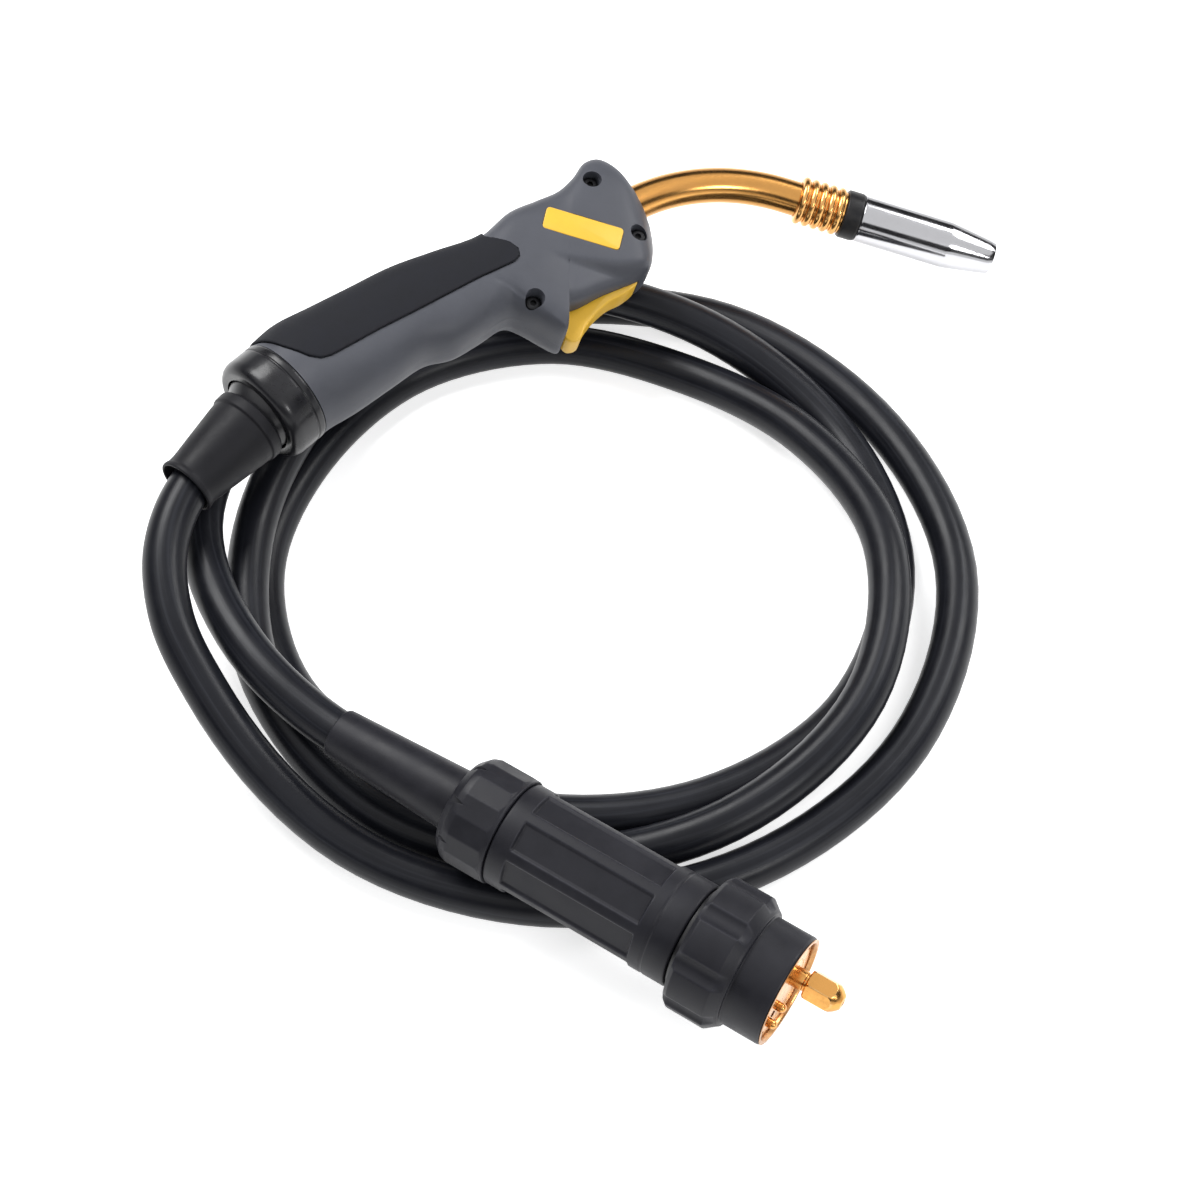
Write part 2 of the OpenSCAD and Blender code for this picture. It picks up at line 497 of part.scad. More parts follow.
module contact_tip() color([0.8, 0.45, 0.25]) on_wire() difference() {
  union() {
    translate([0, 0, -36.5]) cylinder(r = 2.48, h = 8);
    translate([0, 0, -29.8]) cylinder(r = tip_r, h = 24.8 - tip_recess);
    translate([0, 0, -5 - tip_recess]) cylinder(r1 = tip_r, r2 = tip_r - 1.2, h = 5);
  }
  translate([0, 0, -40]) cylinder(r = tip_bore_r, h = 60);
}
module gas_nozzle() color([0.85, 0.86, 0.88]) on_wire() rotate_extrude() polygon([
  [nozzle_bore_r, -nozzle_len], [nozzle_d / 2 - 0.3, -nozzle_len], [nozzle_d / 2, -nozzle_len + 0.4],
  [nozzle_d / 2, -nozzle_taper], [nozzle_mouth_d / 2, 0], [nozzle_mouth_d / 2 - 1, 0],
  [nozzle_bore_r, -nozzle_taper - 3]]);

torch_cable();
cable_boot();
ball_joint();
cable_core();
plug_sleeve();
cap_nut();
plug_housing();
plug_crimp();
plug_collar();
seal_ring();
plug_body();
retaining_ring();
central_pin();
liner_nut();
contact_pin_upper();
contact_pin_lower();
contact_spring_upper();
contact_spring_lower();
ring_nut();
nut_insert();
handle_shell_upper();
handle_shell_lower();
grip_pad();
label_upper();
label_lower();
handle_screws();
handle_collar();
trigger();
trigger_pin();
trigger_spring();
switch_body();
switch_plunger();
switch_leads();
neck_nut();
cable_fitting();
swan_neck();
wire_liner();
neck_head();
nozzle_insulator();
nozzle_clip();
gas_diffuser();
tip_holder();
contact_tip();
gas_nozzle();
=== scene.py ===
from contextlib import contextmanager
from math import copysign, cos, pi, radians, sin, sqrt

import bmesh
import bpy
from mathutils import Matrix, Vector, geometry


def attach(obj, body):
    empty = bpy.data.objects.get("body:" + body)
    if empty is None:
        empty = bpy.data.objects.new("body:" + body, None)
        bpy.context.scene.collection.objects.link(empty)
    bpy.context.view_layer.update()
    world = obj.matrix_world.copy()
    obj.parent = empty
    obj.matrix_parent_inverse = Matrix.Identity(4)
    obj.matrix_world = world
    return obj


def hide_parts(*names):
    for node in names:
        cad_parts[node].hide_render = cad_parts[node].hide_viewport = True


bl_info = {
    "name": "Welding Torch Builder",
    "version": (1, 0, 0),
    "blender": (4, 5, 0),
    "location": "View3D > Sidebar > Torch",
    "description": "Builds a MIG welding torch, its coiled cable and its machine plug",
    "category": "Add Mesh",
}

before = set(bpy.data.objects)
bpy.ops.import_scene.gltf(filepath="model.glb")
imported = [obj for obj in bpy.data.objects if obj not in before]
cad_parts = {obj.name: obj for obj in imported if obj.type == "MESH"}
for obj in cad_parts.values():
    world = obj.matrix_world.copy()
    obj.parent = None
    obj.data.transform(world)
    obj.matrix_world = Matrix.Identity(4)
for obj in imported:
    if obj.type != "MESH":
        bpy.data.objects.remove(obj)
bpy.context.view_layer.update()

MM = 0.001
AXIS = 1e-6
FLOOR = -39.0


# ---------------------------------------------------------------- places, in millimetres
def turn(axis, degrees):
    return Matrix.Rotation(radians(degrees), 4, axis)


def shift(x, y, z):
    return Matrix.Translation((x, y, z))


HERE = Matrix.Identity(4)
PLUG = shift(-18, -5.6, -2.1) @ turn("Y", 90)
TORCH = shift(-118, 344, -15.4) @ turn("Z", 22.2) @ turn("Y", 13.3) @ turn("X", 9)
WIRE = TORCH @ turn("Y", 90)
COLLAR = TORCH @ shift(-280.3, -169.8, 0) @ turn("Z", 239) @ turn("Y", 90)
BOOT = TORCH @ shift(-276.2, -162.9, 0) @ turn("Z", 244.1) @ turn("Y", 90)
PIN_OFF = (-2.1, 5.6)
CONTACTS = ((2.1, -5.6), (4.4, -11.7))
NECK_R = 85
NECK_END = Vector((-155.1, -24.9, 0))
SCREWS = ((-177.0, -31.0), (-152.3, -48.6), (-187.2, -93.2))
WELL_R = 3.7
WELL_Z = 10.5
PIVOT = (-152.0, -64.6)
LABEL_AT = {1: (-175.5, -55.6), -1: (-176.5, -47.6)}
LABEL_LEN, LABEL_H = 33.0, 10.5
LABEL_LOW, LABEL_TOP = 15.8, 17.4


def on_face(spot, side):
    """The place of a spot on the handle's upper (1) or lower (-1) face."""
    return TORCH @ shift(*spot, 0) @ (HERE if side > 0 else turn("X", 180))



# ---------------------------------------------------------------- the cable's route
COIL = (-0.1965, 0.1145)
COIL_A0 = 242.5
COIL_R = (0.1486, 0.148, 0.149, 0.154, 0.161, 0.164, 0.156, 0.149, 0.139, 0.130, 0.119, 0.119,
          0.126, 0.129, 0.1304, 0.137, 0.140, 0.133, 0.1205, 0.1155, 0.117, 0.117, 0.114, 0.116,
          0.115, 0.109, 0.1118, 0.121, 0.133, 0.139, 0.138, 0.132, 0.131, 0.141, 0.1375, 0.137, 0.127)
COIL_U = (0.0304, 0.008, 0, 0, 0, 0, 0, 0, 0, 0.012, 0.0173, 0.0178,
          0.0153, 0.001, 0, 0.0095, 0.017, 0.0185, 0.010, 0, 0, 0, 0, 0,
          0, 0, 0, 0, 0, 0, 0, 0.013, 0.0226, 0.026, 0.0243, 0.031, 0.0335)
LAY_Z = -0.0322
LEAD_IN = ((-0.3144, 0.061, 0.0223), (-0.315, 0.053, 0.022), (-0.3148, 0.0412, 0.0211),
           (-0.3075, 0.0173, 0.0169), (-0.2897, -0.0037, 0.0091))
LEAD_OUT = ((-0.2115, -0.0056, -0.0021), (-0.1945, -0.0056, -0.0021))

# ---------------------------------------------------------------- the handle and what sits in it
# stations from the rear to the neck: back x and y, belly x and y, half thickness, squareness
SHAPE = (
    (-290.8, -144.7, -253.0, -167.3, 22.0, 2.0),
    (-284.3, -133.3, -250.0, -163.0, 21.0, 2.1),
    (-273.6, -122.0, -242.6, -153.9, 19.5, 2.3),
    (-261.1, -108.8, -232.2, -139.2, 18.0, 2.5),
    (-247.2, -93.9, -222.4, -126.0, 17.2, 2.6),
    (-232.2, -81.2, -211.6, -118.6, 17.0, 2.7),
    (-216.2, -68.4, -202.0, -106.9, 17.3, 2.9),
    (-206.9, -53.2, -194.5, -98.5, 17.8, 3.2),
    (-197.4, -44.2, -184.5, -99.0, 17.9, 3.5),
    (-189.4, -36.4, -171.3, -101.4, 17.4, 3.8),
    (-184.7, -27.9, -173.6, -91.5, 17.4, 3.8),
    (-182.0, -19.6, -167.8, -85.3, 17.4, 3.8),
    (-176.4, -15.6, -159.7, -76.6, 17.2, 3.8),
    (-168.6, -17.6, -148.2, -66.4, 16.4, 3.8),
    (-161.0, -22.6, -144.6, -61.5, 14.2, 3.4),
    (-154.4, -28.2, -143.4, -56.0, 10.2, 2.8),
    (-149.6, -33.0, -143.4, -49.0, 4.8, 2.4),
)
HOLLOW_END = 12
TRIGGER = ((-149.0, -61.6), (-147.4, -64.6), (-150.6, -71.6), (-156.3, -77.7), (-160.4, -84.5),
           (-163.6, -93.0), (-165.3, -100.2), (-168.3, -101.6), (-171.8, -99.5), (-174.4, -95.5),
           (-175.4, -89.5), (-173.4, -83.0), (-164.0, -74.2), (-156.0, -67.0), (-153.6, -61.6))
PAD = ((-217.0, -62.0), (-213.5, -70.9), (-210.3, -71.7), (-203.2, -72.2), (-199.1, -73.9),
       (-197.8, -77.0), (-199.1, -80.3), (-209.8, -90.6), (-215.4, -96.5), (-242.9, -126.8), (-258.0, -145.2),
       (-262.1, -148.5), (-266.8, -149.4), (-276.7, -148.3), (-284.8, -145.8), (-295, -143), (-305, -125),
       (-230, -45))


# ---------------------------------------------------------------- shaping tools
def spline(points, steps):
    """Catmull-Rom through tuples of any length, with steps pieces between each two."""
    p = [Vector(q) for q in points]
    p = [2 * p[0] - p[1]] + p + [2 * p[-1] - p[-2]]
    out = []
    for i in range(1, len(p) - 2):
        a, b, c, d = p[i - 1 : i + 3]
        for k in range(steps):
            t = k / steps
            out.append(0.5 * (2 * b + (c - a) * t + (2 * a - 5 * b + 4 * c - d) * t * t
                              + (3 * b - a - 3 * c + d) * t * t * t))
    return out + [p[-2]]


def bend(a, b, c, d, steps):
    """Even steps of a curve from b towards c, with a before them and d after them."""
    e, f, g = (b - a).length, (c - b).length, (d - c).length
    m = f * ((b - a) / e * f + (c - b) / f * e) / (e + f)
    n = f * ((c - b) / f * g + (d - c) / g * f) / (f + g)
    for k in range(steps):
        t = k / steps
        h = t * t * (3 - 2 * t)
        yield b * (1 - h) + c * h + m * t * (1 - t) ** 2 - n * t * t * (1 - t)


def wire(points, steps):
    """A curve through points that stays even where their spacing changes."""
    p = [Vector(q) for q in points]
    p = [2 * p[0] - p[1]] + p + [2 * p[-1] - p[-2]]
    out = []
    for i in range(1, len(p) - 2):
        out += bend(*p[i - 1 : i + 3], steps)
    return out + [p[-2]]


def rounded(profile):
    """Profile points (r, z) or (r, z, fillet), with each fillet drawn as a short curve."""
    n = len(profile)
    out = []
    for i, q in enumerate(profile):
        here = Vector(q[:2])
        if len(q) < 3:
            out.append(here)
            continue
        back = Vector(profile[i - 1][:2]) - here
        on = Vector(profile[(i + 1) % n][:2]) - here
        a = here + back.normalized() * min(q[2], 0.49 * back.length)
        b = here + on.normalized() * min(q[2], 0.49 * on.length)
        for k in range(5):
            t = k / 4
            out.append((1 - t) ** 2 * a + 2 * t * (1 - t) * here + t * t * b)
    return out


@contextmanager
def editing(mesh):
    """Gives the mesh as a bmesh, and writes it back with its faces outwards."""
    bm = bmesh.new()
    bm.from_mesh(mesh)
    yield bm
    bmesh.ops.recalc_face_normals(bm, faces=bm.faces)
    bm.to_mesh(mesh)
    bm.free()


def clean(mesh, sharp):
    """Merges doubles and shades the mesh."""
    with editing(mesh) as bm:
        bmesh.ops.remove_doubles(bm, verts=bm.verts, dist=2e-6)
    shade(mesh, sharp)


def shade(mesh, sharp):
    mesh.polygons.foreach_set("use_smooth", [True] * len(mesh.polygons))
    mesh.set_sharp_from_angle(angle=radians(sharp))
    mesh.update()


def add(name, points, faces, place=HERE, sharp=35):
    mesh = bpy.data.meshes.new(name)
    mesh.from_pydata([(place @ Vector(p)) * MM for p in points], [], faces)
    clean(mesh, sharp)
    return linked(bpy.data.objects.new(name, mesh))


def linked(ob):
    bpy.context.scene.collection.objects.link(ob)
    return ob


def walls(rings, count, closed=False):
    """The faces between rings of count points each."""
    return [(i * count + k, i * count + (k + 1) % count, j * count + (k + 1) % count, j * count + k)
            for i in range(rings if closed else rings - 1) for j in [(i + 1) % rings] for k in range(count)]


def lathe(name, profile, place, steps=96, sharp=35, shape=None):
    """Turns a closed outline of (radius, height) points about the place's Z axis.

    shape(angle, radius, height) may change the radius, for lobes and flats."""
    line = rounded(profile)
    n = len(line)
    points = []
    for k in range(steps):
        a = 2 * pi * k / steps
        for q in line:
            r = shape(a, q[0], q[1]) if shape else q[0]
            points.append((r * cos(a), r * sin(a), q[1]))
    faces = [f for f in walls(steps, n, closed=True) if line[f[0] % n][0] > AXIS or line[f[1] % n][0] > AXIS]
    return add(name, points, faces, place, sharp)


def bore(radius, low, high, place, steps):
    """A round cutter or post about the place's Z axis."""
    return lathe("cut", [(0, low), (radius, low), (radius, high), (0, high)], place, steps)


def prism(name, outline, low, high, place=HERE, sharp=35):
    n = len(outline)
    points = [(q[0], q[1], z) for z in (low, high) for q in outline]
    return add(name, points, [tuple(range(n)), tuple(range(n, 2 * n))] + walls(2, n), place, sharp)


def swept_prism(name, outlines, low, high, place=HERE):
    """A prism over everything that any of the outlines covers."""
    points, faces = [], []
    for outline in outlines:
        faces.append(list(range(len(points), len(points) + len(outline))))
        points += [Vector(q) for q in outline]
    flat = geometry.delaunay_2d_cdt(points, [], faces, 1, 1e-4)
    bm = bmesh.new()
    corner = [bm.verts.new((q[0], q[1], low)) for q in flat[0]]
    for f in flat[2]:
        bm.faces.new([corner[i] for i in f])
    bmesh.ops.dissolve_limit(bm, angle_limit=0.001, verts=[v for v in bm.verts if not v.is_boundary],
                             edges=[e for e in bm.edges if not e.is_boundary])
    top = bmesh.ops.extrude_face_region(bm, geom=bm.faces[:])["geom"]
    bmesh.ops.translate(bm, vec=(0, 0, high - low), verts=[v for v in top if isinstance(v, bmesh.types.BMVert)])
    bm.verts.index_update()
    shape = [tuple(v.co) for v in bm.verts]
    sides = [tuple(v.index for v in f.verts) for f in bm.faces]
    bm.free()
    return add(name, shape, sides, place)


def tube(name, line, radius, place=HERE, sides=24, sharp=35, floor=None):
    """A round tube along a line of points, with a uv map that runs along it."""
    n = len(line)
    points = []
    for i, c in enumerate(line):
        t = (line[min(i + 1, n - 1)] - line[max(i - 1, 0)]).normalized()
        s = t.cross(Vector((0, 0, 1))).normalized()
        u = s.cross(t)
        for k in range(sides):
            a = 2 * pi * k / sides
            q = c + radius * (cos(a) * s + sin(a) * u)
            if floor is not None:
                q.z = max(q.z, floor)
            points.append(q)
    ends = [tuple(range(sides)), tuple((n - 1) * sides + k for k in range(sides))]
    ob = add(name, points, walls(n, sides) + ends, place, sharp)
    along = [0.0]
    for i in range(1, n):
        along.append(along[-1] + (line[i] - line[i - 1]).length * MM)
    around = ob.data.uv_layers.new(name="along")
    for face in ob.data.polygons:
        wrap = max(v % sides for v in face.vertices) == sides - 1 and len(face.vertices) == 4
        for k in face.loop_indices:
            v = ob.data.loops[k].vertex_index
            turn_part = v % sides
            if wrap and turn_part == 0:
                turn_part = sides
            around.data[k].uv = (along[min(v // sides, n - 1)], turn_part / sides)
    return ob


def bake(ob, sharp=35):
    """Turns the object and its modifiers into one plain mesh."""
    old = ob.data
    ob.data = bpy.data.meshes.new_from_object(ob.evaluated_get(bpy.context.evaluated_depsgraph_get()))
    ob.modifiers.clear()
    bpy.data.meshes.remove(old)
    shade(ob.data, sharp)
    return ob


def carve(ob, *tools, how="DIFFERENCE", sharp=35):
    for tool in tools:
        cut = ob.modifiers.new("cut", "BOOLEAN")
        cut.operation = how
        cut.solver = "EXACT"
        cut.object = tool
        bake(ob, sharp)
        bpy.data.objects.remove(tool)
        clean(ob.data, sharp)
    return ob


def soften(ob, width, segments=3, angle=30, sharp=50):
    bevel = ob.modifiers.new("soften", "BEVEL")
    bevel.width = width * MM
    bevel.segments = segments
    bevel.limit_method = "ANGLE"
    bevel.angle_limit = radians(angle)
    bevel.harden_normals = False
    return bake(ob, sharp)


def fit(ob, body, finish, *nodes):
    """The piece gets its finish, stands for its CAD nodes and rides on its body."""
    ob.data.materials.clear()
    ob.data.materials.append(FINISHES[finish])
    mark_edges(ob)
    if nodes:
        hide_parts(*nodes)
    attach(ob, body)
    return ob


def turned(node, body, finish, profile, place, steps=96, sharp=35, shape=None, name=None):
    """A lathed piece that stands for one CAD node."""
    return fit(lathe((name or node) + "_skin", profile, place, steps, sharp, shape), body, finish, node)


# ---------------------------------------------------------------- node trees
def feed(tree, node, values):
    """Gives the node's inputs values, or links from other nodes' outputs."""
    for key, value in dict(values).items():
        if hasattr(value, "is_output"):
            tree.links.new(value, node.inputs[key])
        else:
            node.inputs[key].default_value = value
    return node


def put(tree, kind, values=(), **facts):
    """Adds a node with its settings and what its inputs are fed."""
    node = tree.nodes.new(kind)
    for key, value in facts.items():
        setattr(node, key, value)
    return feed(tree, node, values)


def new_tree(name, kind, inputs, outputs):
    """An empty group with named inputs and outputs, its input node and its output node."""
    tree = bpy.data.node_groups.new(name, kind + "NodeTree")
    for label, sort, value in inputs:
        s = tree.interface.new_socket(label, in_out="INPUT", socket_type="NodeSocket" + sort)
        if value is not None:
            s.default_value = value
    for label, sort in outputs:
        tree.interface.new_socket(label, in_out="OUTPUT", socket_type="NodeSocket" + sort)
    return tree, put(tree, "NodeGroupInput"), put(tree, "NodeGroupOutput")


class Tree:
    """A small geometry node tree with named inputs."""

    def __init__(self, name, inputs):
        self.tree, self.source, self.sink = new_tree(name, "Geometry", [("Geometry", "Geometry", None)] + inputs,
                                                     [("Geometry", "Geometry")])

    def node(self, kind, values=(), **facts):
        return put(self.tree, kind, values, **facts)

    def given(self, label):
        return self.source.outputs[label]

    def finish(self, geometry):
        real = self.node("GeometryNodeRealizeInstances", {"Geometry": geometry})
        painted = self.node("GeometryNodeSetMaterial", {"Geometry": real.outputs[0],
                                                        "Material": self.given("Finish")})
        feed(self.tree, self.sink, {0: painted.outputs[0]})
        return self.tree


def grow(ob, tree, values, sharp=35):
    """Runs a node tree on the object with the named values, and keeps its result as a plain mesh."""
    mod = ob.modifiers.new("grow", "NODES")
    mod.node_group = tree
    for item in tree.interface.items_tree:
        if item.item_type == "SOCKET" and item.in_out == "INPUT" and item.name in values:
            mod[item.identifier] = values[item.name]
    bake(ob, sharp)
    clean(ob.data, sharp)
    return ob


def settle(ob, place, sharp=35):
    """Moves a mesh that was made in millimetres round its own origin to its place."""
    ob.data.transform(Matrix.Scale(MM, 4) @ place)
    shade(ob.data, sharp)
    return ob


def blank(name):
    return linked(bpy.data.objects.new(name, bpy.data.meshes.new(name)))


def mark_edges(ob):
    """Stores how far each vertex stands out from its neighbours, for wear along edges."""
    mesh = ob.data
    total = [0.0] * len(mesh.vertices)
    count = [0] * len(mesh.vertices)
    normals = [v.normal.copy() for v in mesh.vertices]
    for edge in mesh.edges:
        a, b = edge.vertices
        d = mesh.vertices[a].co - mesh.vertices[b].co
        if d.length > 1e-9:
            d.normalize()
            total[a] += normals[a].dot(d)
            total[b] -= normals[b].dot(d)
            count[a] += 1
            count[b] += 1
    out = [t / max(c, 1) for t, c in zip(total, count)]
    store = mesh.attributes.new("edge", "FLOAT", "POINT")
    store.data.foreach_set("value", [min(max(3.0 * (v - 0.04), 0.0), 1.0) for v in out])


# ---------------------------------------------------------------- shared shader groups
WHITE = (1, 1, 1, 1)


def noise(tree, scale, detail, **more):
    """Noise in the piece's own coordinates."""
    place = put(tree, "ShaderNodeTexCoord").outputs["Object"]
    return put(tree, "ShaderNodeTexNoise", {"Vector": place, "Scale": scale, "Detail": detail, **more})


def mixed(tree, share, first, second):
    """The colour between first and second at the share."""
    return put(tree, "ShaderNodeMix", {0: share, 6: first, 7: second}, data_type="RGBA").outputs[2]


def grain_group():
    """Fine moulded or cast grain, as a bumped normal."""
    g, given, result = new_tree("fine_grain", "Shader", [("Scale", "Float", 2500.0), ("Strength", "Float", 0.15),
                                                         ("Depth", "Float", 0.0001)], [("Normal", "Vector")])
    fine = noise(g, given.outputs["Scale"], 3.0, Roughness=0.6)
    bump = put(g, "ShaderNodeBump", {"Strength": given.outputs["Strength"], "Distance": given.outputs["Depth"],
                                     "Height": fine.outputs["Fac"]})
    feed(g, result, {"Normal": bump.outputs["Normal"]})
    return g


def tint_group():
    """Slow colour and gloss variation from one noise."""
    g, given, result = new_tree(
        "soft_tint", "Shader",
        [("Colour", "Color", WHITE), ("Second Colour", "Color", WHITE), ("Scale", "Float", 60.0),
         ("Low Gloss", "Float", 0.4), ("High Gloss", "Float", 0.55)],
        [("Colour", "Color"), ("Roughness", "Float")])
    slow = noise(g, given.outputs["Scale"], 5.0, Roughness=0.65).outputs["Fac"]
    level = put(g, "ShaderNodeMapRange", {"Value": slow, "From Min": 0.32, "From Max": 0.68})
    gloss = put(g, "ShaderNodeMapRange", {"Value": slow, "From Min": 0.3, "From Max": 0.7,
                                          "To Min": given.outputs["Low Gloss"], "To Max": given.outputs["High Gloss"]})
    colour = mixed(g, level.outputs["Result"], given.outputs["Colour"], given.outputs["Second Colour"])
    feed(g, result, {"Colour": colour, "Roughness": gloss.outputs["Result"]})
    return g


def wear_group():
    """Edges rubbed to another colour, broken up by noise."""
    g, given, result = new_tree(
        "edge_wear", "Shader",
        [("Colour", "Color", WHITE), ("Worn Colour", "Color", WHITE), ("Amount", "Float", 0.6),
         ("Scale", "Float", 500.0)],
        [("Colour", "Color")])
    edge = put(g, "ShaderNodeAttribute", attribute_name="edge")
    spots = noise(g, given.outputs["Scale"], 4.0)
    rub = put(g, "ShaderNodeMath", {0: edge.outputs["Fac"], 1: spots.outputs["Fac"]}, operation="MULTIPLY")
    strength = put(g, "ShaderNodeMath", {0: rub.outputs[0], 1: given.outputs["Amount"]}, operation="MULTIPLY",
                   use_clamp=True)
    feed(g, result, {"Colour": mixed(g, strength.outputs[0], given.outputs["Colour"], given.outputs["Worn Colour"])})
    return g


# ---------------------------------------------------------------- finishes
# name: material slot, colour, second colour, gloss from and to, size of the clouds, and what else it has.
# A colour is three numbers, or a sidebar colour's name and a factor.
LOOKS = {
    "cable_sheath": ("cable_rubber", ("cable", 1), ("cable", 1.35), (0.28, 0.4), 45.0,
                     dict(grain=(900.0, 0.10), shine=0.2)),
    "boot_rubber": ("boot_rubber", ("boot", 1), ("boot", 1.5), (0.42, 0.6), 90.0,
                    dict(grain=(1800.0, 0.16), worn=("boot", 4.0), wear=0.5, shine=0.18)),
    "seal_rubber": ("seal_rubber", (0.16, 0.03, 0.02), (0.11, 0.02, 0.015), (0.5, 0.6), 300.0, {}),
    "ball_plastic": ("ball_plastic", (0.012, 0.012, 0.014), (0.02, 0.02, 0.023), (0.25, 0.4), 120.0,
                     dict(worn=(0.08, 0.08, 0.09))),
    "shell_plastic": ("handle_plastic", ("handle", 1), ("handle", 1.16), (0.42, 0.56), 55.0,
                      dict(grain=(3200.0, 0.16), worn=("handle", 1.7), wear=0.9, shine=0.35)),
    "pad_rubber": ("pad_rubber", ("pad", 1), ("pad", 1.35), (0.6, 0.78), 130.0,
                   dict(grain=(2600.0, 0.3), worn=("pad", 2.2), wear=0.5, shine=0.14)),
    "collar_gloss": ("collar_plastic", (0.008, 0.008, 0.010), (0.013, 0.013, 0.016), (0.24, 0.36), 140.0,
                     dict(grain=(1200.0, 0.04), worn=(0.06, 0.06, 0.07), coat=0.1, shine=0.3)),
    "signal_yellow": ("yellow_plastic", ("signal", 1), ("signal", 0.93), (0.34, 0.46), 110.0,
                      dict(grain=(2600.0, 0.1), worn=(1.0, 0.78, 0.24), wear=0.7)),
    "screw_black": ("screw_steel", (0.006, 0.006, 0.007), (0.014, 0.014, 0.016), (0.35, 0.5), 700.0,
                    dict(metal=0.4, worn=(0.1, 0.1, 0.11), shine=0.3)),
    "plug_charcoal": ("plug_plastic", ("plug", 1), ("plug", 1.3), (0.36, 0.52), 85.0,
                      dict(grain=(2200.0, 0.18), worn=("plug", 6.0), wear=0.9, shine=0.22)),
    "switch_black": ("switch_plastic", (0.011, 0.011, 0.012), (0.018, 0.018, 0.02), (0.4, 0.5), 300.0, {}),
    "plunger_red": ("plunger_plastic", (0.5, 0.02, 0.012), (0.42, 0.018, 0.012), (0.35, 0.45), 300.0, {}),
    "lead_red": ("lead_pvc", (0.38, 0.015, 0.010), (0.3, 0.013, 0.010), (0.25, 0.35), 300.0, {}),
    "insulator_black": ("insulator_plastic", (0.012, 0.012, 0.014), (0.022, 0.021, 0.021), (0.3, 0.5), 200.0,
                        dict(worn=(0.08, 0.075, 0.07), shine=0.2)),
    "turned_brass": ("brass", ("brass", 1), ("brass", 0.82), (0.16, 0.3), 260.0,
                     dict(metal=1.0, grain=(1500.0, 0.05), worn=(0.98, 0.82, 0.5), wear=0.9)),
    "drawn_brass": ("brass", ("brass", 0.9), ("brass", 0.76), (0.17, 0.26), 60.0,
                    dict(metal=1.0, grain=(500.0, 0.008))),
    "tip_copper": ("copper", (0.72, 0.33, 0.18), (0.55, 0.25, 0.15), (0.25, 0.4), 300.0, dict(metal=1.0)),
    "spring_steel": ("spring_steel", (0.5, 0.5, 0.52), (0.42, 0.42, 0.43), (0.22, 0.34), 300.0, dict(metal=1.0)),
    "yellow_zinc": ("spring_steel", (0.56, 0.30, 0.12), (0.42, 0.21, 0.08), (0.22, 0.38), 300.0,
                    dict(metal=1.0, worn=(0.75, 0.5, 0.3))),
    "plated_nozzle": ("nozzle_chrome", ("nozzle", 1), ("nozzle", 0.93), (0.09, 0.17), 120.0,
                      dict(metal=1.0, grain=(900.0, 0.03), worn=(0.72, 0.72, 0.74))),
}
FINISHES = {}


def solid(colour):
    """Red, green, blue and 1, from three numbers or from a sidebar colour's name and a factor."""
    if len(colour) == 2:
        colour = [min(v * colour[1], 1.0) for v in getattr(bpy.context.scene.torch_colours, colour[0])]
    return (*colour, 1.0)


def plain_material(name):
    mat = bpy.data.materials.new(name)
    mat.use_nodes = True
    return mat, mat.node_tree, mat.node_tree.nodes["Principled BSDF"]


def finish_of(groups, name, colour, second, gloss, scale, metal=0.0, grain=(2500.0, 0.12), worn=None, wear=0.6,
              coat=0.0, shine=0.5):
    """A finish from the shared groups: tinted colour, varied gloss, grain and worn edges."""
    mat, t, skin = plain_material(name)
    base = put(t, "ShaderNodeGroup", {"Colour": solid(colour), "Second Colour": solid(second), "Scale": scale,
                                      "Low Gloss": gloss[0], "High Gloss": gloss[1]}, node_tree=groups[0])
    out = base.outputs["Colour"]
    if worn:
        out = put(t, "ShaderNodeGroup", {"Colour": out, "Worn Colour": solid(worn), "Amount": wear},
                  node_tree=groups[1]).outputs["Colour"]
    rough = put(t, "ShaderNodeGroup", {"Scale": grain[0], "Strength": grain[1]}, node_tree=groups[2])
    feed(t, skin, {"Metallic": metal, "Specular IOR Level": shine, "Coat Weight": coat, "Coat Roughness": 0.06,
                   "Base Color": out, "Roughness": base.outputs["Roughness"], "Normal": rough.outputs["Normal"]})
    return mat


def make_finishes():
    groups = tint_group(), wear_group(), grain_group()
    for name, (_, *look, more) in LOOKS.items():
        FINISHES[name] = finish_of(groups, name, *look, **more)
    run_streaks(FINISHES["cable_sheath"])


def run_streaks(mat):
    """Long scuffs that run along the cable, from its own uv map."""
    t = mat.node_tree
    skin = t.nodes["Principled BSDF"]
    place = put(t, "ShaderNodeUVMap", uv_map="along")
    stretch = put(t, "ShaderNodeMapping", {"Vector": place.outputs["UV"], "Scale": (9.0, 26.0, 1.0)})
    fine = put(t, "ShaderNodeTexNoise", {"Vector": stretch.outputs["Vector"], "Scale": 1.0, "Detail": 5.0})
    level = put(t, "ShaderNodeMapRange", {"Value": fine.outputs["Fac"], "From Min": 0.5, "From Max": 0.78,
                                          "To Max": 0.32})
    under = skin.inputs["Base Color"].links[0].from_socket
    feed(t, skin, {"Base Color": mixed(t, level.outputs["Result"], under, (0.07, 0.074, 0.088, 1.0))})


def dress(finish, *nodes):
    """Gives CAD nodes that stay as they are a finish."""
    for name in nodes:
        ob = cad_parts[name]
        if not ob.material_slots:
            ob.data.materials.append(FINISHES[finish])
        for s in ob.material_slots:
            s.material = FINISHES[finish]


# ---------------------------------------------------------------- sizes and colours for the sidebar
def length_prop(name, text, value, low, high):
    return bpy.props.FloatProperty(name=name, description=text, default=value, min=low, max=high,
                                   precision=4, subtype="DISTANCE", unit="LENGTH")


def colour_prop(name, text, value):
    return bpy.props.FloatVectorProperty(name=name, description=text, default=value, size=3, min=0.0, max=1.0,
                                         subtype="COLOR")


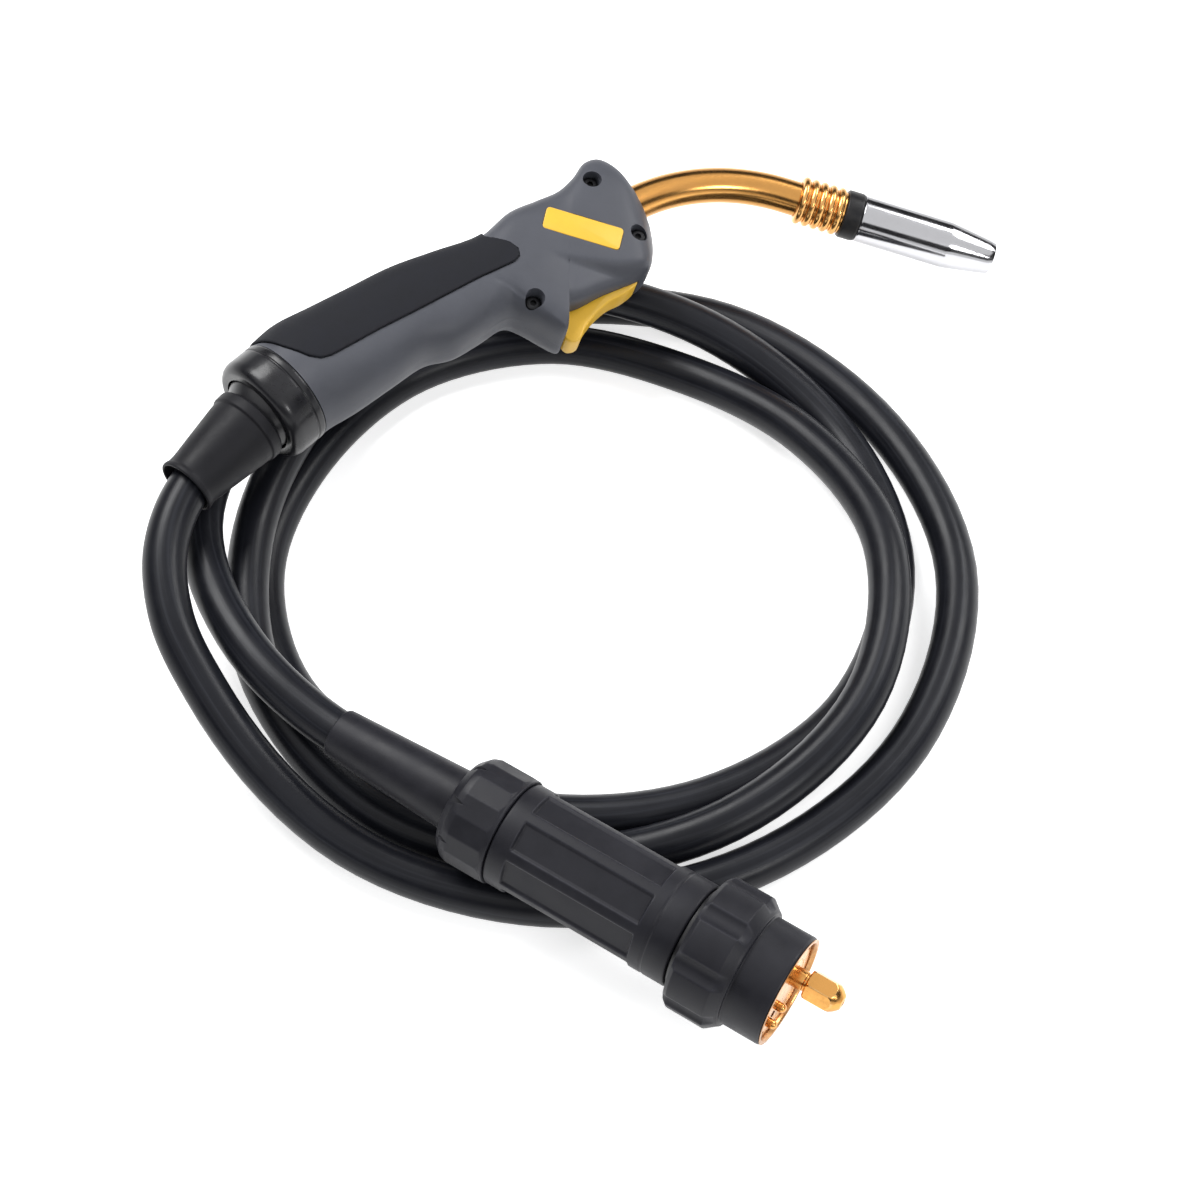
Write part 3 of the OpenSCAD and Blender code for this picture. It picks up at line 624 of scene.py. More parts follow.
class TorchSizes(bpy.types.PropertyGroup):
    cable_d: length_prop("Cable diameter", "Outside diameter of the coaxial cable", 0.017, 0.015, 0.0172)
    pad_rise: length_prop("Pad rise", "How far the soft grip pad stands out of the handle", 0.001, 0.0006, 0.002)
    nozzle_length: length_prop("Nozzle length", "Length of the gas nozzle", 0.0605, 0.058, 0.066)
    nozzle_d: length_prop("Nozzle diameter", "Outside diameter of the gas nozzle", 0.0207, 0.0202, 0.024)
    nozzle_mouth_d: length_prop("Nozzle mouth", "Outside diameter of the nozzle at its mouth", 0.0144, 0.0136, 0.018)
    rib_pitch: length_prop("Rib pitch", "Distance between the ribs of the brass head", 0.004, 0.003, 0.0045)
    rib_count: bpy.props.IntProperty(name="Ribs", description="How many ribs the brass head has", default=5, min=3,
                                     max=6)
    lobe_depth: length_prop("Lobe depth", "Depth of the grooves between the ring nut's lobes", 0.0016, 0.0008, 0.0024)
    channel_depth: length_prop("Channel depth", "Depth of the plug housing's flat channels", 0.0016, 0.0008, 0.0019)
    cap_notches: bpy.props.IntProperty(name="Cap notches", description="How many notches the cap nut has", default=8,
                                       min=4, max=12)


class TorchColours(bpy.types.PropertyGroup):
    cable: colour_prop("Cable", "Sheath of the cable", (0.0075, 0.008, 0.011))
    boot: colour_prop("Boot", "Rubber of the boot", (0.007, 0.007, 0.009))
    handle: colour_prop("Handle", "Plastic of the handle shells", (0.060, 0.063, 0.076))
    pad: colour_prop("Grip pad", "Soft rubber of the grip pad", (0.013, 0.0135, 0.017))
    signal: colour_prop("Trigger and labels", "Yellow plastic", (0.84, 0.49, 0.035))
    plug: colour_prop("Plug", "Plastic of the machine plug", (0.013, 0.013, 0.017))
    brass: colour_prop("Brass", "Swan neck, head and plug body", (0.74, 0.37, 0.105))
    nozzle: colour_prop("Nozzle plating", "Plated gas nozzle", (0.54, 0.54, 0.56))


# ---------------------------------------------------------------- the handle's own shapes
def superellipse(n, count):
    """count points evenly round a superellipse of half sizes 1, starting at the back and going up."""
    fine = []
    for k in range(721):
        a = pi * k / 720
        x, y = cos(a), sin(a)
        fine.append(Vector((copysign(abs(x) ** (2 / n), x), abs(y) ** (2 / n))))
    gone = [0.0]
    for a, b in zip(fine, fine[1:]):
        gone.append(gone[-1] + (b - a).length)
    out, j = [], 0
    half = count // 2
    for k in range(half + 1):
        want = gone[-1] * k / half
        while j < 719 and gone[j + 1] < want:
            j += 1
        t = (want - gone[j]) / max(gone[j + 1] - gone[j], 1e-9)
        out.append(fine[j].lerp(fine[j + 1], min(t, 1.0)))
    return out + [Vector((q.x, -q.y)) for q in out[-2:0:-1]]


def side_of(line, x, y):
    """Distance of a point from a line of points, positive on its right, and how far along it lies (0 to 1)."""
    best = None
    total = sum((Vector(b) - Vector(a)).length for a, b in zip(line, line[1:]))
    gone = 0.0
    for a, b in zip(line, line[1:]):
        a, b = Vector(a), Vector(b)
        d = b - a
        q = Vector((x, y)) - a
        t = min(max(q.dot(d) / d.length_squared, 0.0), 1.0)
        off = q - d * t
        sign = 1.0 if d.x * q.y - d.y * q.x < 0 else -1.0
        if best is None or off.length < abs(best[0]):
            best = (sign * off.length, (gone + t * d.length) / total)
        gone += d.length
    return best


def ease(v):
    v = min(max(v, 0.0), 1.0)
    return v * v * (3 - 2 * v)


RIDGE = ((-209.5, -90.2), (-205.7, -90.0), (-198.2, -91.0), (-191.3, -93.8), (-183.2, -96.6), (-173.8, -100.1),
         (-168.0, -102.5))
VALLEY = ((-190.1, -70.7), (-181.8, -71.6), (-173.2, -71.7), (-164.5, -70.9), (-156.5, -69.9), (-150.8, -68.0),
          (-144.0, -66.0))


VALLEY_DEPTH = 4.0
RIDGE_BEAD, RIDGE_DROP = 0.45, 4.0


def sculpt(p):
    """How far the handle's skin is pressed in at a point of its upper or lower face."""
    x, y, z = p
    down = 0.0
    off, along = side_of(VALLEY, x, y)
    if 0 < along < 1:
        depth = VALLEY_DEPTH * ease(along * 1.3)
        if off < 0:
            down += depth * max(0.0, 1 + off / (1.6 + 4.6 * along)) ** 1.4
        else:
            down += depth * (1 - 0.7 * min(off / 12, 1.0))
        down *= ease((abs(z) - 5.0) / 5.0)
    off, along = side_of(RIDGE, x, y)
    if x > -212:
        bead = RIDGE_BEAD * max(0.0, 1 - abs(off + 0.5) / 1.2) * ease(along * 6.0)
        slope = min(0.4 * ease(off) + 0.27 * off, RIDGE_DROP) if off > 0 else 0.0
        down += (slope * ease((x + 205) / 12) - bead) * ease((abs(z) - 3.0) / 4.0)
    return down


def loft(name, off, steps, count, low=None, pressed=False, last=None):
    """The handle's closed skin, pushed out by off, from a fine curve through its stations."""
    rows = spline(SHAPE, steps)
    last = len(rows) - 1 if last is None else last
    points = []
    for i, s in enumerate(rows[: last + 1]):
        t, b = Vector((s[0], s[1], 0)), Vector((s[2], s[3], 0))
        d = (t - b).normalized()
        cut = low(i / steps) if low else 0.0
        h = ((t - b).length + 2 * off - cut) / 2
        c = (t + b + d * cut) / 2
        square = 3.6 * ease(i / steps / 2 - 3.5) * ease(8.0 - i / steps / 2) if pressed else 0.0
        flatter = superellipse(s[5] + square, count)
        for k, q in enumerate(superellipse(s[5], count)):
            if q.x < 0 < q.y:
                q = flatter[k]
            p = c + d * h * q.x + Vector((0, 0, (s[4] + off) * q.y))
            if pressed:
                p.z -= copysign(sculpt(p), p.z)
            points.append(p)
    ends = [tuple(range(count)), tuple(last * count + k for k in range(count))]
    return add(name, points, walls(last + 1, count) + ends, TORCH, 40)


def offset_outline(outline, gap):
    """Moves a closed outline outwards by gap."""
    n = len(outline)
    area = sum(a[0] * b[1] - b[0] * a[1] for a, b in zip(outline, outline[1:] + outline[:1]))
    way = 1.0 if area > 0 else -1.0
    out = []
    for i in range(n):
        a, b, c = Vector(outline[i - 1]), Vector(outline[i]), Vector(outline[(i + 1) % n])
        u, v = (b - a).normalized(), (c - b).normalized()
        m = Vector((u.y + v.y, -u.x - v.x)) * way
        m = m.normalized() * gap / max(0.5, sqrt(max(0.0, (1 + u.dot(v)) / 2)))
        out.append(tuple(b + m))
    return out


def smooth_outline(outline, steps):
    """A closed outline with its corners eased by a curve through its points."""
    p = [Vector(q) for q in outline]
    n = len(p)
    return [tuple(q) for i in range(n) for q in bend(p[i - 1], p[i], p[(i + 1) % n], p[(i + 2) % n], steps)]


def rounded_box_outline(w, h, r, steps=6):
    out = []
    x, y = w / 2 - r, h / 2 - r
    for i, (cx, cy) in enumerate(((x, y), (-x, y), (-x, -y), (x, -y))):
        for k in range(steps + 1):
            a = radians(90 * i + 90 * k / steps)
            out.append((cx + r * cos(a), cy + r * sin(a)))
    return out


def pulled(outline, degrees):
    """The outline turned about the trigger's pivot."""
    c, s = cos(radians(degrees)), sin(radians(degrees))
    u, v = PIVOT
    return [(u + (x - u) * c - (y - v) * s, v + (x - u) * s + (y - v) * c) for x, y in outline]


def sector(angle, count, first=0.0):
    """The angle from the middle of the nearest of count equal sectors."""
    return (angle - first + pi / count) % (2 * pi / count) - pi / count


# ---------------------------------------------------------------- node trees for what repeats
def rib_tree():
    """Round ribs in a row along Z, joined to the turned core they sit on."""
    t = Tree("ribs_along_axis", [("Count", "Int", 5), ("Pitch", "Float", 4.0), ("Radius", "Float", 8.7),
                                 ("Rib Size", "Float", 1.7), ("Start", "Float", -86.6), ("Finish", "Material", None)])
    step = t.node("ShaderNodeCombineXYZ", {"Z": t.given("Pitch")})
    start = t.node("ShaderNodeCombineXYZ", {"Z": t.given("Start")})
    row = t.node("GeometryNodeMeshLine", {"Count": t.given("Count"), "Offset": step.outputs[0],
                                          "Start Location": start.outputs[0]}, mode="OFFSET")
    ring = t.node("GeometryNodeCurvePrimitiveCircle", {"Resolution": 96, "Radius": t.given("Radius")})
    bead = t.node("GeometryNodeCurvePrimitiveCircle", {"Resolution": 20, "Radius": t.given("Rib Size")})
    rib = t.node("GeometryNodeCurveToMesh", {"Curve": ring.outputs["Curve"], "Profile Curve": bead.outputs["Curve"]})
    many = t.node("GeometryNodeInstanceOnPoints", {"Points": row.outputs[0], "Instance": rib.outputs[0]})
    both = t.node("GeometryNodeJoinGeometry", {0: many.outputs[0]})
    feed(t.tree, both, {0: t.given("Geometry")})
    return t.finish(both.outputs[0])


def ring_tree():
    """Copies of the given shape evenly round Z at a radius."""
    t = Tree("copies_round_axis", [("Count", "Int", 8), ("Radius", "Float", 10.0), ("First Angle", "Float", 0.0),
                                   ("Finish", "Material", None)])
    line = t.node("GeometryNodeMeshLine", {"Count": t.given("Count"), "Offset": (0, 0, 0)}, mode="OFFSET")
    index = t.node("GeometryNodeInputIndex")
    share = t.node("ShaderNodeMath", {0: index.outputs[0], 1: t.given("Count")}, operation="DIVIDE")
    angle = t.node("ShaderNodeMath", {0: share.outputs[0], 1: 2 * pi, 2: t.given("First Angle")},
                   operation="MULTIPLY_ADD")
    spin = t.node("ShaderNodeCombineXYZ", {"Z": angle.outputs[0]})
    out = t.node("ShaderNodeCombineXYZ", {"X": t.given("Radius")})
    moved = t.node("GeometryNodeTransform", {"Geometry": t.given("Geometry"), "Translation": out.outputs[0]})
    many = t.node("GeometryNodeInstanceOnPoints", {"Points": line.outputs[0], "Instance": moved.outputs[0],
                                                   "Rotation": spin.outputs[0]})
    return t.finish(many.outputs[0])


class Piece(bpy.types.Operator):
    """What the torch's operators share: each has its own build"""

    bl_options = {"REGISTER", "UNDO"}

    def execute(self, context):
        self.build(context.scene.torch_sizes)
        return {"FINISHED"}


# ---------------------------------------------------------------- the stage, in metres
EYE, LOOK_ALONG = (0.1038, -0.3197, 0.7577), (-0.2926, 0.4593, -0.8387)
LENS, SENSOR = 70.395, 36
AIM = Vector((-0.15, 0.1, 0))
LIGHTS = (("soft_left", (-0.9, 0.3, 1.1), 0.8, 15.0), ("soft_back", (0.35, 1.1, 0.9), 0.7, 9.0),
          ("strip_right", (0.9, -0.2, 0.7), 0.3, 4.0))
# and in millimetres
FLOOR_HALF = 2500
CLOTH_R, CLOTH_LOW, CLOTH_TOP, CLOTH_SIDES = 1500, 330, 1150, 60


def stand(name, data, place, way):
    """A camera or a light at a place, looking along a way."""
    ob = linked(bpy.data.objects.new(name, data))
    ob.location = place
    ob.rotation_euler = way.to_track_quat("-Z", "Y").to_euler()
    return ob


def shown(tree, unseen, seen, out):
    """Seen for rays from the camera, off a glossy surface or through a clear one, and unseen for all others."""
    path = put(tree, "ShaderNodeLightPath")
    rays = path.outputs["Is Camera Ray"]
    for other in ("Is Glossy Ray", "Is Transmission Ray"):
        rays = put(tree, "ShaderNodeMath", {0: rays, 1: path.outputs[other]}, operation="MAXIMUM").outputs[0]
    pick = put(tree, "ShaderNodeMixShader", {0: rays, 1: unseen.outputs[0], 2: seen.outputs[0]})
    put(tree, out, {0: pick.outputs[0]})


def floor_finish():
    """White to the camera and to reflections, shaded where the object's shadow falls."""
    mat, t, _ = plain_material("pale_floor")
    t.nodes.clear()
    paint = put(t, "ShaderNodeBsdfDiffuse", {"Color": (0.93, 0.93, 0.93, 1)})
    white = put(t, "ShaderNodeEmission", {"Color": WHITE, "Strength": 0.67})
    both = put(t, "ShaderNodeAddShader", {0: paint.outputs[0], 1: white.outputs[0]})
    shown(t, paint, both, "ShaderNodeOutputMaterial")
    return mat


def cloth_finish():
    """Matt black cloth."""
    mat, t, skin = plain_material("black_cloth")
    feed(t, skin, {"Base Color": (0.03, 0.03, 0.032, 1), "Roughness": 1.0, "Specular IOR Level": 0.0})
    return mat


class BuildStage(Piece):
    """Floor, lights, world and camera"""

    bl_idname = "torch.build_stage"
    bl_label = "Stage and camera"

    def build(self, sizes):
        scene = bpy.context.scene
        scene.view_settings.view_transform = "Standard"
        view = bpy.data.cameras.new("view")
        view.lens = LENS
        view.sensor_width = SENSOR
        view.clip_start = 0.05
        scene.camera = stand("view", view, EYE, Vector(LOOK_ALONG))

        world = bpy.data.worlds.new("studio")
        world.use_nodes = True
        scene.world = world
        w = world.node_tree
        w.nodes.clear()
        soft = put(w, "ShaderNodeBackground", {"Color": (0.97, 0.985, 1.0, 1), "Strength": 0.36})
        seen = put(w, "ShaderNodeBackground", {"Color": WHITE, "Strength": 1.0})
        shown(w, soft, seen, "ShaderNodeOutputWorld")

        corners = [(x * FLOOR_HALF, y * FLOOR_HALF, FLOOR) for x, y in ((-1, -1), (1, -1), (1, 1), (-1, 1))]
        floor = add("floor_sheet", corners, [(0, 1, 2, 3)])
        floor.data.materials.append(floor_finish())

        # a dark cloth wall all round, seen only in reflections, draws the dark bands along metal and gloss
        turns = [radians(k * 360 // CLOTH_SIDES) for k in range(CLOTH_SIDES)]
        rings = [(CLOTH_R * cos(a), CLOTH_R * sin(a), z) for z in (CLOTH_LOW, CLOTH_TOP) for a in turns]
        cloth = add("cloth_wall", rings, walls(2, CLOTH_SIDES))
        cloth.data.materials.append(cloth_finish())
        for ray in ("camera", "diffuse", "transmission", "shadow"):
            setattr(cloth, "visible_" + ray, False)

        for name, place, size, power in LIGHTS:
            light = bpy.data.lights.new(name, "AREA")
            light.shape = "RECTANGLE"
            light.size = size
            light.size_y = size * 0.7
            light.energy = power
            stand(name, light, place, AIM - Vector(place))


class BuildCable(Piece):
    """The coiled cable, from the boot to the plug"""

    bl_idname = "torch.build_cable"
    bl_label = "Coiled cable"

    def build(self, sizes):
        stations = list(LEAD_IN)
        for i, (r, lift) in enumerate(zip(COIL_R, COIL_U)):
            a = radians(COIL_A0 + 30 * i)
            stations.append((COIL[0] + r * cos(a), COIL[1] + r * sin(a), LAY_Z + lift))
        stations += list(LEAD_OUT)
        line = wire(stations, 9)
        cable = tube("cable", [q * 1000 for q in line], sizes.cable_d * 500, sides=32, floor=FLOOR)
        fit(cable, "cable", "cable_sheath", "torch_cable")
        scene = bpy.context.scene
        scene["cable_route"] = [c for q in line for c in q]
        scene["cable_length"] = sum((b - a).length for a, b in zip(line, line[1:]))


class DeclareCable(Piece):
    """The last step, after the connector's pieces; its build does nothing"""

    bl_idname = "torch.declare_cable"
    bl_label = "Cable facts"

    def build(self, sizes):
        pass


BALL_R = 17.5


class BuildBoot(Piece):
    """Ball joint and tapered rubber boot"""

    bl_idname = "torch.build_boot"
    bl_label = "Ball and boot"

    def build(self, sizes):
        turned("cable_boot", "cable", "boot_rubber", [
            (8.95, 24, 0.3), (12.5, 24, 0.3), (12.5, 11.8, 0.3), (15.4, 11.8, 0.5), (16, 12.4, 0.5), (16, 16.6, 0.6),
            (15.2, 17.2, 0.5), (15.0, 20.0, 1.0), (13.5, 31.5), (11.75, 44.6, 2.0), (11.7, 47.4, 1.2),
            (12.15, 48.6, 0.5), (12.2, 49.9, 0.5), (11.8, 50.4, 0.3), (11.1, 50.35, 0.3), (10.6, 47.2, 1.2),
            (9.7, 38.0, 1.5), (8.95, 32, 1.5)], BOOT, 128)
        turns = [radians(125 - 125 * k / 32) for k in range(33)]
        dome = [(BALL_R * sin(a), BALL_R * cos(a)) for a in turns]
        turned("ball_joint", "cable", "ball_plastic", [(6.2, -10, 0.3), (sqrt(BALL_R ** 2 - 10 ** 2), -10, 0.3)]
               + [q for q in dome if -10 <= q[1] <= 11.2]
               + [(13.75, 11.6, 0.4), (12.4, 11.8), (12.4, 23.8, 0.4), (6.2, 23.8, 0.4)], BOOT, name="ball")


class BuildCollar(Piece):
    """Glossy collar at the rear of the handle"""

    bl_idname = "torch.build_collar"
    bl_label = "Handle collar"

    def build(self, sizes):
        turned("handle_collar", "handle", "collar_gloss", [
            (18.2, -16.1, 0.2), (21.9, -16.1, 0.6), (22.5, -15.3, 0.6), (22.5, -12.9, 0.25), (22.1, -12.6, 0.2),
            (22.1, -12.1, 0.2), (22.5, -11.8, 0.25), (22.5, -3.6, 1.4), (21.5, -1.2, 1.2), (19.9, 0, 0.7),
            (16.5, 0, 0.3), (16.75, -1, 0.3), (17.35, -3), (17.75, -5.2), (17.95, -8), (18.2, -9)], COLLAR, 160)


HOUSING_R, CHANNEL_LOW, CHANNEL_TOP = 20.2, -108.4, -54.2
FIRST_CHANNEL = radians(22.5)


class BuildPlug(Piece):
    """Sleeve, cap nut, channelled housing and collar of the machine plug"""

    bl_idname = "torch.build_plug"
    bl_label = "Plug housing"

    def build(self, sizes):
        turned("plug_sleeve", "cable", "plug_charcoal", [
            (9.15, -193, 0.3), (9.3, -193.5, 0.15), (9.7, -193.1, 0.3), (9.85, -191.5, 0.8), (12.2, -137.8),
            (12.2, -134.4, 0.2), (14.5, -134.4, 0.2), (14.5, -131, 0.2), (7.1, -131, 0.2), (7.1, -176, 0.2),
            (8.6, -176, 0.2), (8.7, -182)], PLUG)

        def facets(a, r, z):
            return min(r, 21.03 / cos(sector(a, 16))) if r >= 18.6 else r

        cap = lathe("cap_nut_skin", [
            (12.6, -137.8, 0.3), (17.4, -137.8, 0.4), (20.4, -134.6, 0.4), (21.5, -131.4, 0.3), (21.5, -118.2, 0.6),
            (21.0, -117.2, 0.4), (21.0, -116.2, 0.4), (20.5, -115.9, 0.3), (18.2, -115.9, 0.3), (18.2, -134.4, 0.3),
            (12.6, -134.4, 0.3)], HERE, 256, 40, facets)
        notch = blank("notches")
        with editing(notch.data) as bm:
            tip = [(-4.2, -2.1), (-4.2, 2.1), (3.4, 0.0)]
            low = [bm.verts.new((-2.2, y, z - 134.6)) for z, y in tip]
            high = [bm.verts.new((2.6, y * 1.25, z * 1.15 - 134.4)) for z, y in tip]
            bm.faces.new(low)
            bm.faces.new(high[::-1])
            for i in range(3):
                bm.faces.new((low[i], high[i], high[(i + 1) % 3], low[(i + 1) % 3]))
        grow(notch, ring_tree(), {"Count": sizes.cap_notches, "Radius": 20.9, "First Angle": FIRST_CHANNEL,
                                  "Finish": FINISHES["plug_charcoal"]})
        notch.data.transform(Matrix.Scale(MM, 4))
        carve(cap, notch)
        settle_metres(cap, PLUG)
        soften(cap, 0.22, 2, 32)
        fit(cap, "cable", "plug_charcoal", "cap_nut")

        deep = sizes.channel_depth * 1000

        def channels(a, r, z):
            if r < 19 or not CHANNEL_LOW < z < CHANNEL_TOP:
                return r
            part = sector(a, 8, FIRST_CHANNEL)
            ends = ease((z - CHANNEL_LOW) / 1.0) * ease((CHANNEL_TOP - z) / 1.0)
            inside = ease((6.1 - abs(HOUSING_R * sin(part))) / 1.0)
            return r - max(r - (HOUSING_R - deep) / cos(part), 0) * ends * inside

        body = [(16.8, -125, 0.3), (18, -125, 0.3), (18, -115.7, 0.2), (19.6, -115.7, 0.4), (HOUSING_R, -115.1, 0.5),
                (HOUSING_R, -111.2, 0.3), (HOUSING_R, -108.6)]
        for first, step, count in ((CHANNEL_LOW, 0.25, 6), (-106.0, 5.0, 10), (-55.7, 0.25, 8)):
            body += [(HOUSING_R, first + step * k) for k in range(count)]
        body += [(HOUSING_R, -50.0, 0.25), (19.95, -49.6, 0.2), (19.95, -49.0, 0.2), (HOUSING_R, -48.6, 0.25),
                 (HOUSING_R, -40.1, 0.5), (19.7, -39.5, 0.3), (17.5, -39.5, 0.2), (17.5, -114, 0.2), (16.8, -114, 0.2)]
        turned("plug_housing", "cable", "plug_charcoal", body, PLUG, 320, 45, channels)
        turned("plug_collar", "cable", "ball_plastic", [
            (15.4, -47, 0.2), (17.4, -47, 0.2), (17.4, -39.4), (19.0, -39.4, 0.3), (19.0, -37.3, 0.3),
            (15.4, -37.3, 0.2)], PLUG)
        dress("turned_brass", "plug_crimp")
        dress("tip_copper", "cable_core")
        dress("seal_rubber", "seal_ring")
        dress("spring_steel", "retaining_ring", "contact_spring_upper", "contact_spring_lower")


def settle_metres(ob, place):
    """Moves a mesh that is already in metres from its own axis to its place."""
    move = place.copy()
    move.translation = place.translation * MM
    ob.data.transform(move)
    shade(ob.data, 35)
    return ob


class BuildPlugFace(Piece):
    """Brass body, offset pin, liner nut and the two sprung contacts"""

    bl_idname = "torch.build_plug_face"
    bl_label = "Plug face"

    def build(self, sizes):
        body = lathe("plug_body_skin", [
            (0, -76), (6.4, -76, 0.3), (6.4, -56, 0.3), (13.9, -56, 0.3), (13.9, -44), (13.7, -43.8), (13.7, -42.2),
            (15.3, -42, 0.2), (15.3, -36.9, 0.2), (17.2, -36.9, 0.3), (17.2, -29.7), (15.9, -29.7), (15.9, -28.3),
            (17.2, -28.3, 0.2), (17.2, -2.5, 0.6), (16.4, -1.5, 0.3), (12.6, -1.5, 0.15), (12.3, -1.75, 0.1),
            (12.0, -1.5, 0.15), (0, -1.5)], PLUG, 128)
        pin_place = PLUG @ shift(*PIN_OFF, 0)
        carve(body, lathe("cut", [(0, -31), (3.8, -31), (3.8, -2.0), (4.3, -1.2), (4.3, 4), (0, 4)], pin_place, 48))
        for q in CONTACTS:
            carve(body, lathe("cut", [(0, -24), (1.85, -24), (1.85, -1.9), (2.25, -1.3), (2.25, 4), (0, 4)],
                              PLUG @ shift(*q, 0), 32))
        carve(body, prism("cut", rounded_box_outline(4.4, 2.4, 0.4), -4.8, 1.0,
                          PLUG @ shift(3.25, -8.65, 0) @ turn("Z", 21)))
        fit(body, "cable", "turned_brass", "plug_body")

        turned("central_pin", "cable", "turned_brass", [
            (1.4, -30.9, 0.2), (3.75, -30.9, 0.4), (3.75, 2.9, 0.3), (3.4, 3.2, 0.2), (3.4, 4, 0.1), (1.4, 4, 0.1)],
            pin_place, 64)

        def hexagon(a, r, z):
            return min(r, 5.2 / cos(sector(a, 6))) if r > 2.7 else r

        turned("liner_nut", "cable", "turned_brass", [
            (1.0, 0, 0.1), (5.0, 0, 0.15), (5.75, 0.7, 0.2), (6.0, 1.6), (6.0, 9.2), (5.6, 10.4, 0.6), (4.2, 12.4, 0.6),
            (2.7, 13.9, 0.4), (1.35, 14, 0.15), (1.0, 13.5)], PLUG @ shift(*PIN_OFF, 4), 192, 30, hexagon)

        stem = [(0, -14), (1.75, -14, 0.3), (1.75, -4, 0.2), (1.6, -3.7), (1.6, -3.2), (1.75, -2.9)]
        dome = [(1.75 * cos(radians(a)), 0.2 + 1.75 * sin(radians(a))) for a in range(0, 90, 9)]
        for name, q in zip(("contact_pin_upper", "contact_pin_lower"), CONTACTS):
            turned(name, name, "turned_brass", stem + dome + [(0, 1.95)], PLUG @ shift(*q, 0), 40)


NUT_R, GROOVE_R = 26, 5.2


class BuildRingNut(Piece):
    """Lobed ring nut with its smooth front sleeve and threaded insert"""

    bl_idname = "torch.build_ring_nut"
    bl_label = "Ring nut"

    def build(self, sizes):
        centre = NUT_R + GROOVE_R - sizes.lobe_depth * 1000

        def lobes(a, r, z):
            if r < 21.6:
                return r
            part = sector(a, 8)
            s = centre * sin(part)
            groove = 30.0 if abs(s) > GROOVE_R else centre * cos(part) - sqrt(GROOVE_R ** 2 - s * s)
            h = max(0.0, 0.4 - abs(r - groove)) / 0.4
            return min(r, groove) - h * h * 0.1

        line = [(19.4, -37, 0.3), (24.5, -37, 0.3), (NUT_R, -35.2, 0.3)]
        line += [(NUT_R, -34.4 + 2.4 * k) for k in range(6)]
        line += [(NUT_R, -20.6, 0.3), (23.2, -17.0, 0.3), (22.6, -16.1, 0.3), (21.5, -16, 0.3), (21.15, -15.7, 0.2),
                 (21.15, -4.2, 0.1), (21.15, -1.1, 0.6), (20.6, -0.3, 0.3), (20.2, -0.3), (20.2, -18), (18.9, -18),
                 (18.9, -30), (17.6, -30), (17.6, -34), (19.4, -34)]
        turned("ring_nut", "ring_nut", "plug_charcoal", line, PLUG, 384, 45, lobes)
        thread = [q for k in range(9) for q in ((18.9, -1.6 - k), (19.4, -2.1 - k))]
        turned("nut_insert", "ring_nut", "yellow_zinc", [
            (20.15, -17.9, 0.1), (20.15, -0.4, 0.1), (21, -0.1, 0.15), (20.7, 0, 0.1), (19.5, 0, 0.2), (19.0, -0.8)]
            + thread + [(18.9, -11), (18.9, -17.9, 0.1)], PLUG, 128)


def screw_cutter(spot, side):
    return lathe("cut", [(0, WELL_Z), (WELL_R, WELL_Z), (WELL_R, 15.0), (WELL_R + 0.35, 16.6), (WELL_R + 0.9, 30),
                         (0, 30)], on_face(spot, side), 48)


class BuildHandle(Piece):
    """Both handle shells, with their sculpted faces, trigger slot and screw wells"""

    bl_idname = "torch.build_handle"
    bl_label = "Handle shells"

    def build(self, sizes):
        def belly(i):
            """How far the hollow stays away from the belly at station i."""
            return 0 if i < 6.5 else 8 * (i - 6) if i < 8 else 15 if i < 10 else 18 if i < 11.5 else 7

        outer = loft("handle_whole", 0, 12, 176, pressed=True)
        carve(outer, pad_solid("cut", 2.0, -0.75, offset_outline(PAD, 0.35)))
        carve(outer, *[screw_cutter(p, side) for p in SCREWS for side in (1, -1)])
        for side, spot in LABEL_AT.items():
            carve(outer, prism("cut", rounded_box_outline(LABEL_LEN + 0.3, LABEL_H + 0.3, 1.7), LABEL_LOW - 0.1, 20,
                               on_face(spot, side)))
        line = smooth_outline(TRIGGER, 3)
        carve(outer, swept_prism("cut", [offset_outline(pulled(line, t), 0.4) for t in (0, -2.5, -5, -7.4)],
                                 -5.9, 5.9, TORCH))
        hollow = loft("cut", -2.4, 4, 48, belly, last=4 * HOLLOW_END)
        carve(hollow, bore(WELL_R + 0.9, -14, 14, TORCH @ shift(*SCREWS[0], 0), 48))
        carve(outer, hollow)
        carve(outer, lathe("cut", [(0, -46.4), (9.3, -46.4), (9.3, -23.8), (7.62, -23.8), (7.62, 30), (0, 30)],
                           TORCH @ shift(*NECK_END) @ turn("Z", 45) @ turn("Y", 90), 64))
        other = linked(outer.copy())
        other.data = outer.data.copy()
        for ob, name, s in ((outer, "handle_shell_upper", 1), (other, "handle_shell_lower", -1)):
            ob.name = name + "_skin"
            with editing(ob.data) as bm:
                done = bmesh.ops.bisect_plane(bm, geom=bm.verts[:] + bm.edges[:] + bm.faces[:], dist=1e-7,
                                              plane_co=(TORCH @ Vector((0, 0, 0.06 * s))) * MM,
                                              plane_no=(TORCH.to_3x3() @ Vector((0, 0, 1))) * s, clear_inner=True)
                edges = [e for e in done["geom_cut"] if isinstance(e, bmesh.types.BMEdge)]
                bmesh.ops.triangle_fill(bm, edges=edges, use_beauty=True)
            shade(ob.data, 40)
            fit(ob, "handle", "shell_plastic", name)


def pad_solid(name, high, low, outline):
    """What lies between two skins of the handle inside an outline on its side."""
    skin = loft(name, high, 5, 96, last=48)
    core = loft("cut", low, 5, 96, last=50)
    carve(skin, prism("cut", outline, -40, 40, TORCH), how="INTERSECT")
    return carve(skin, core)


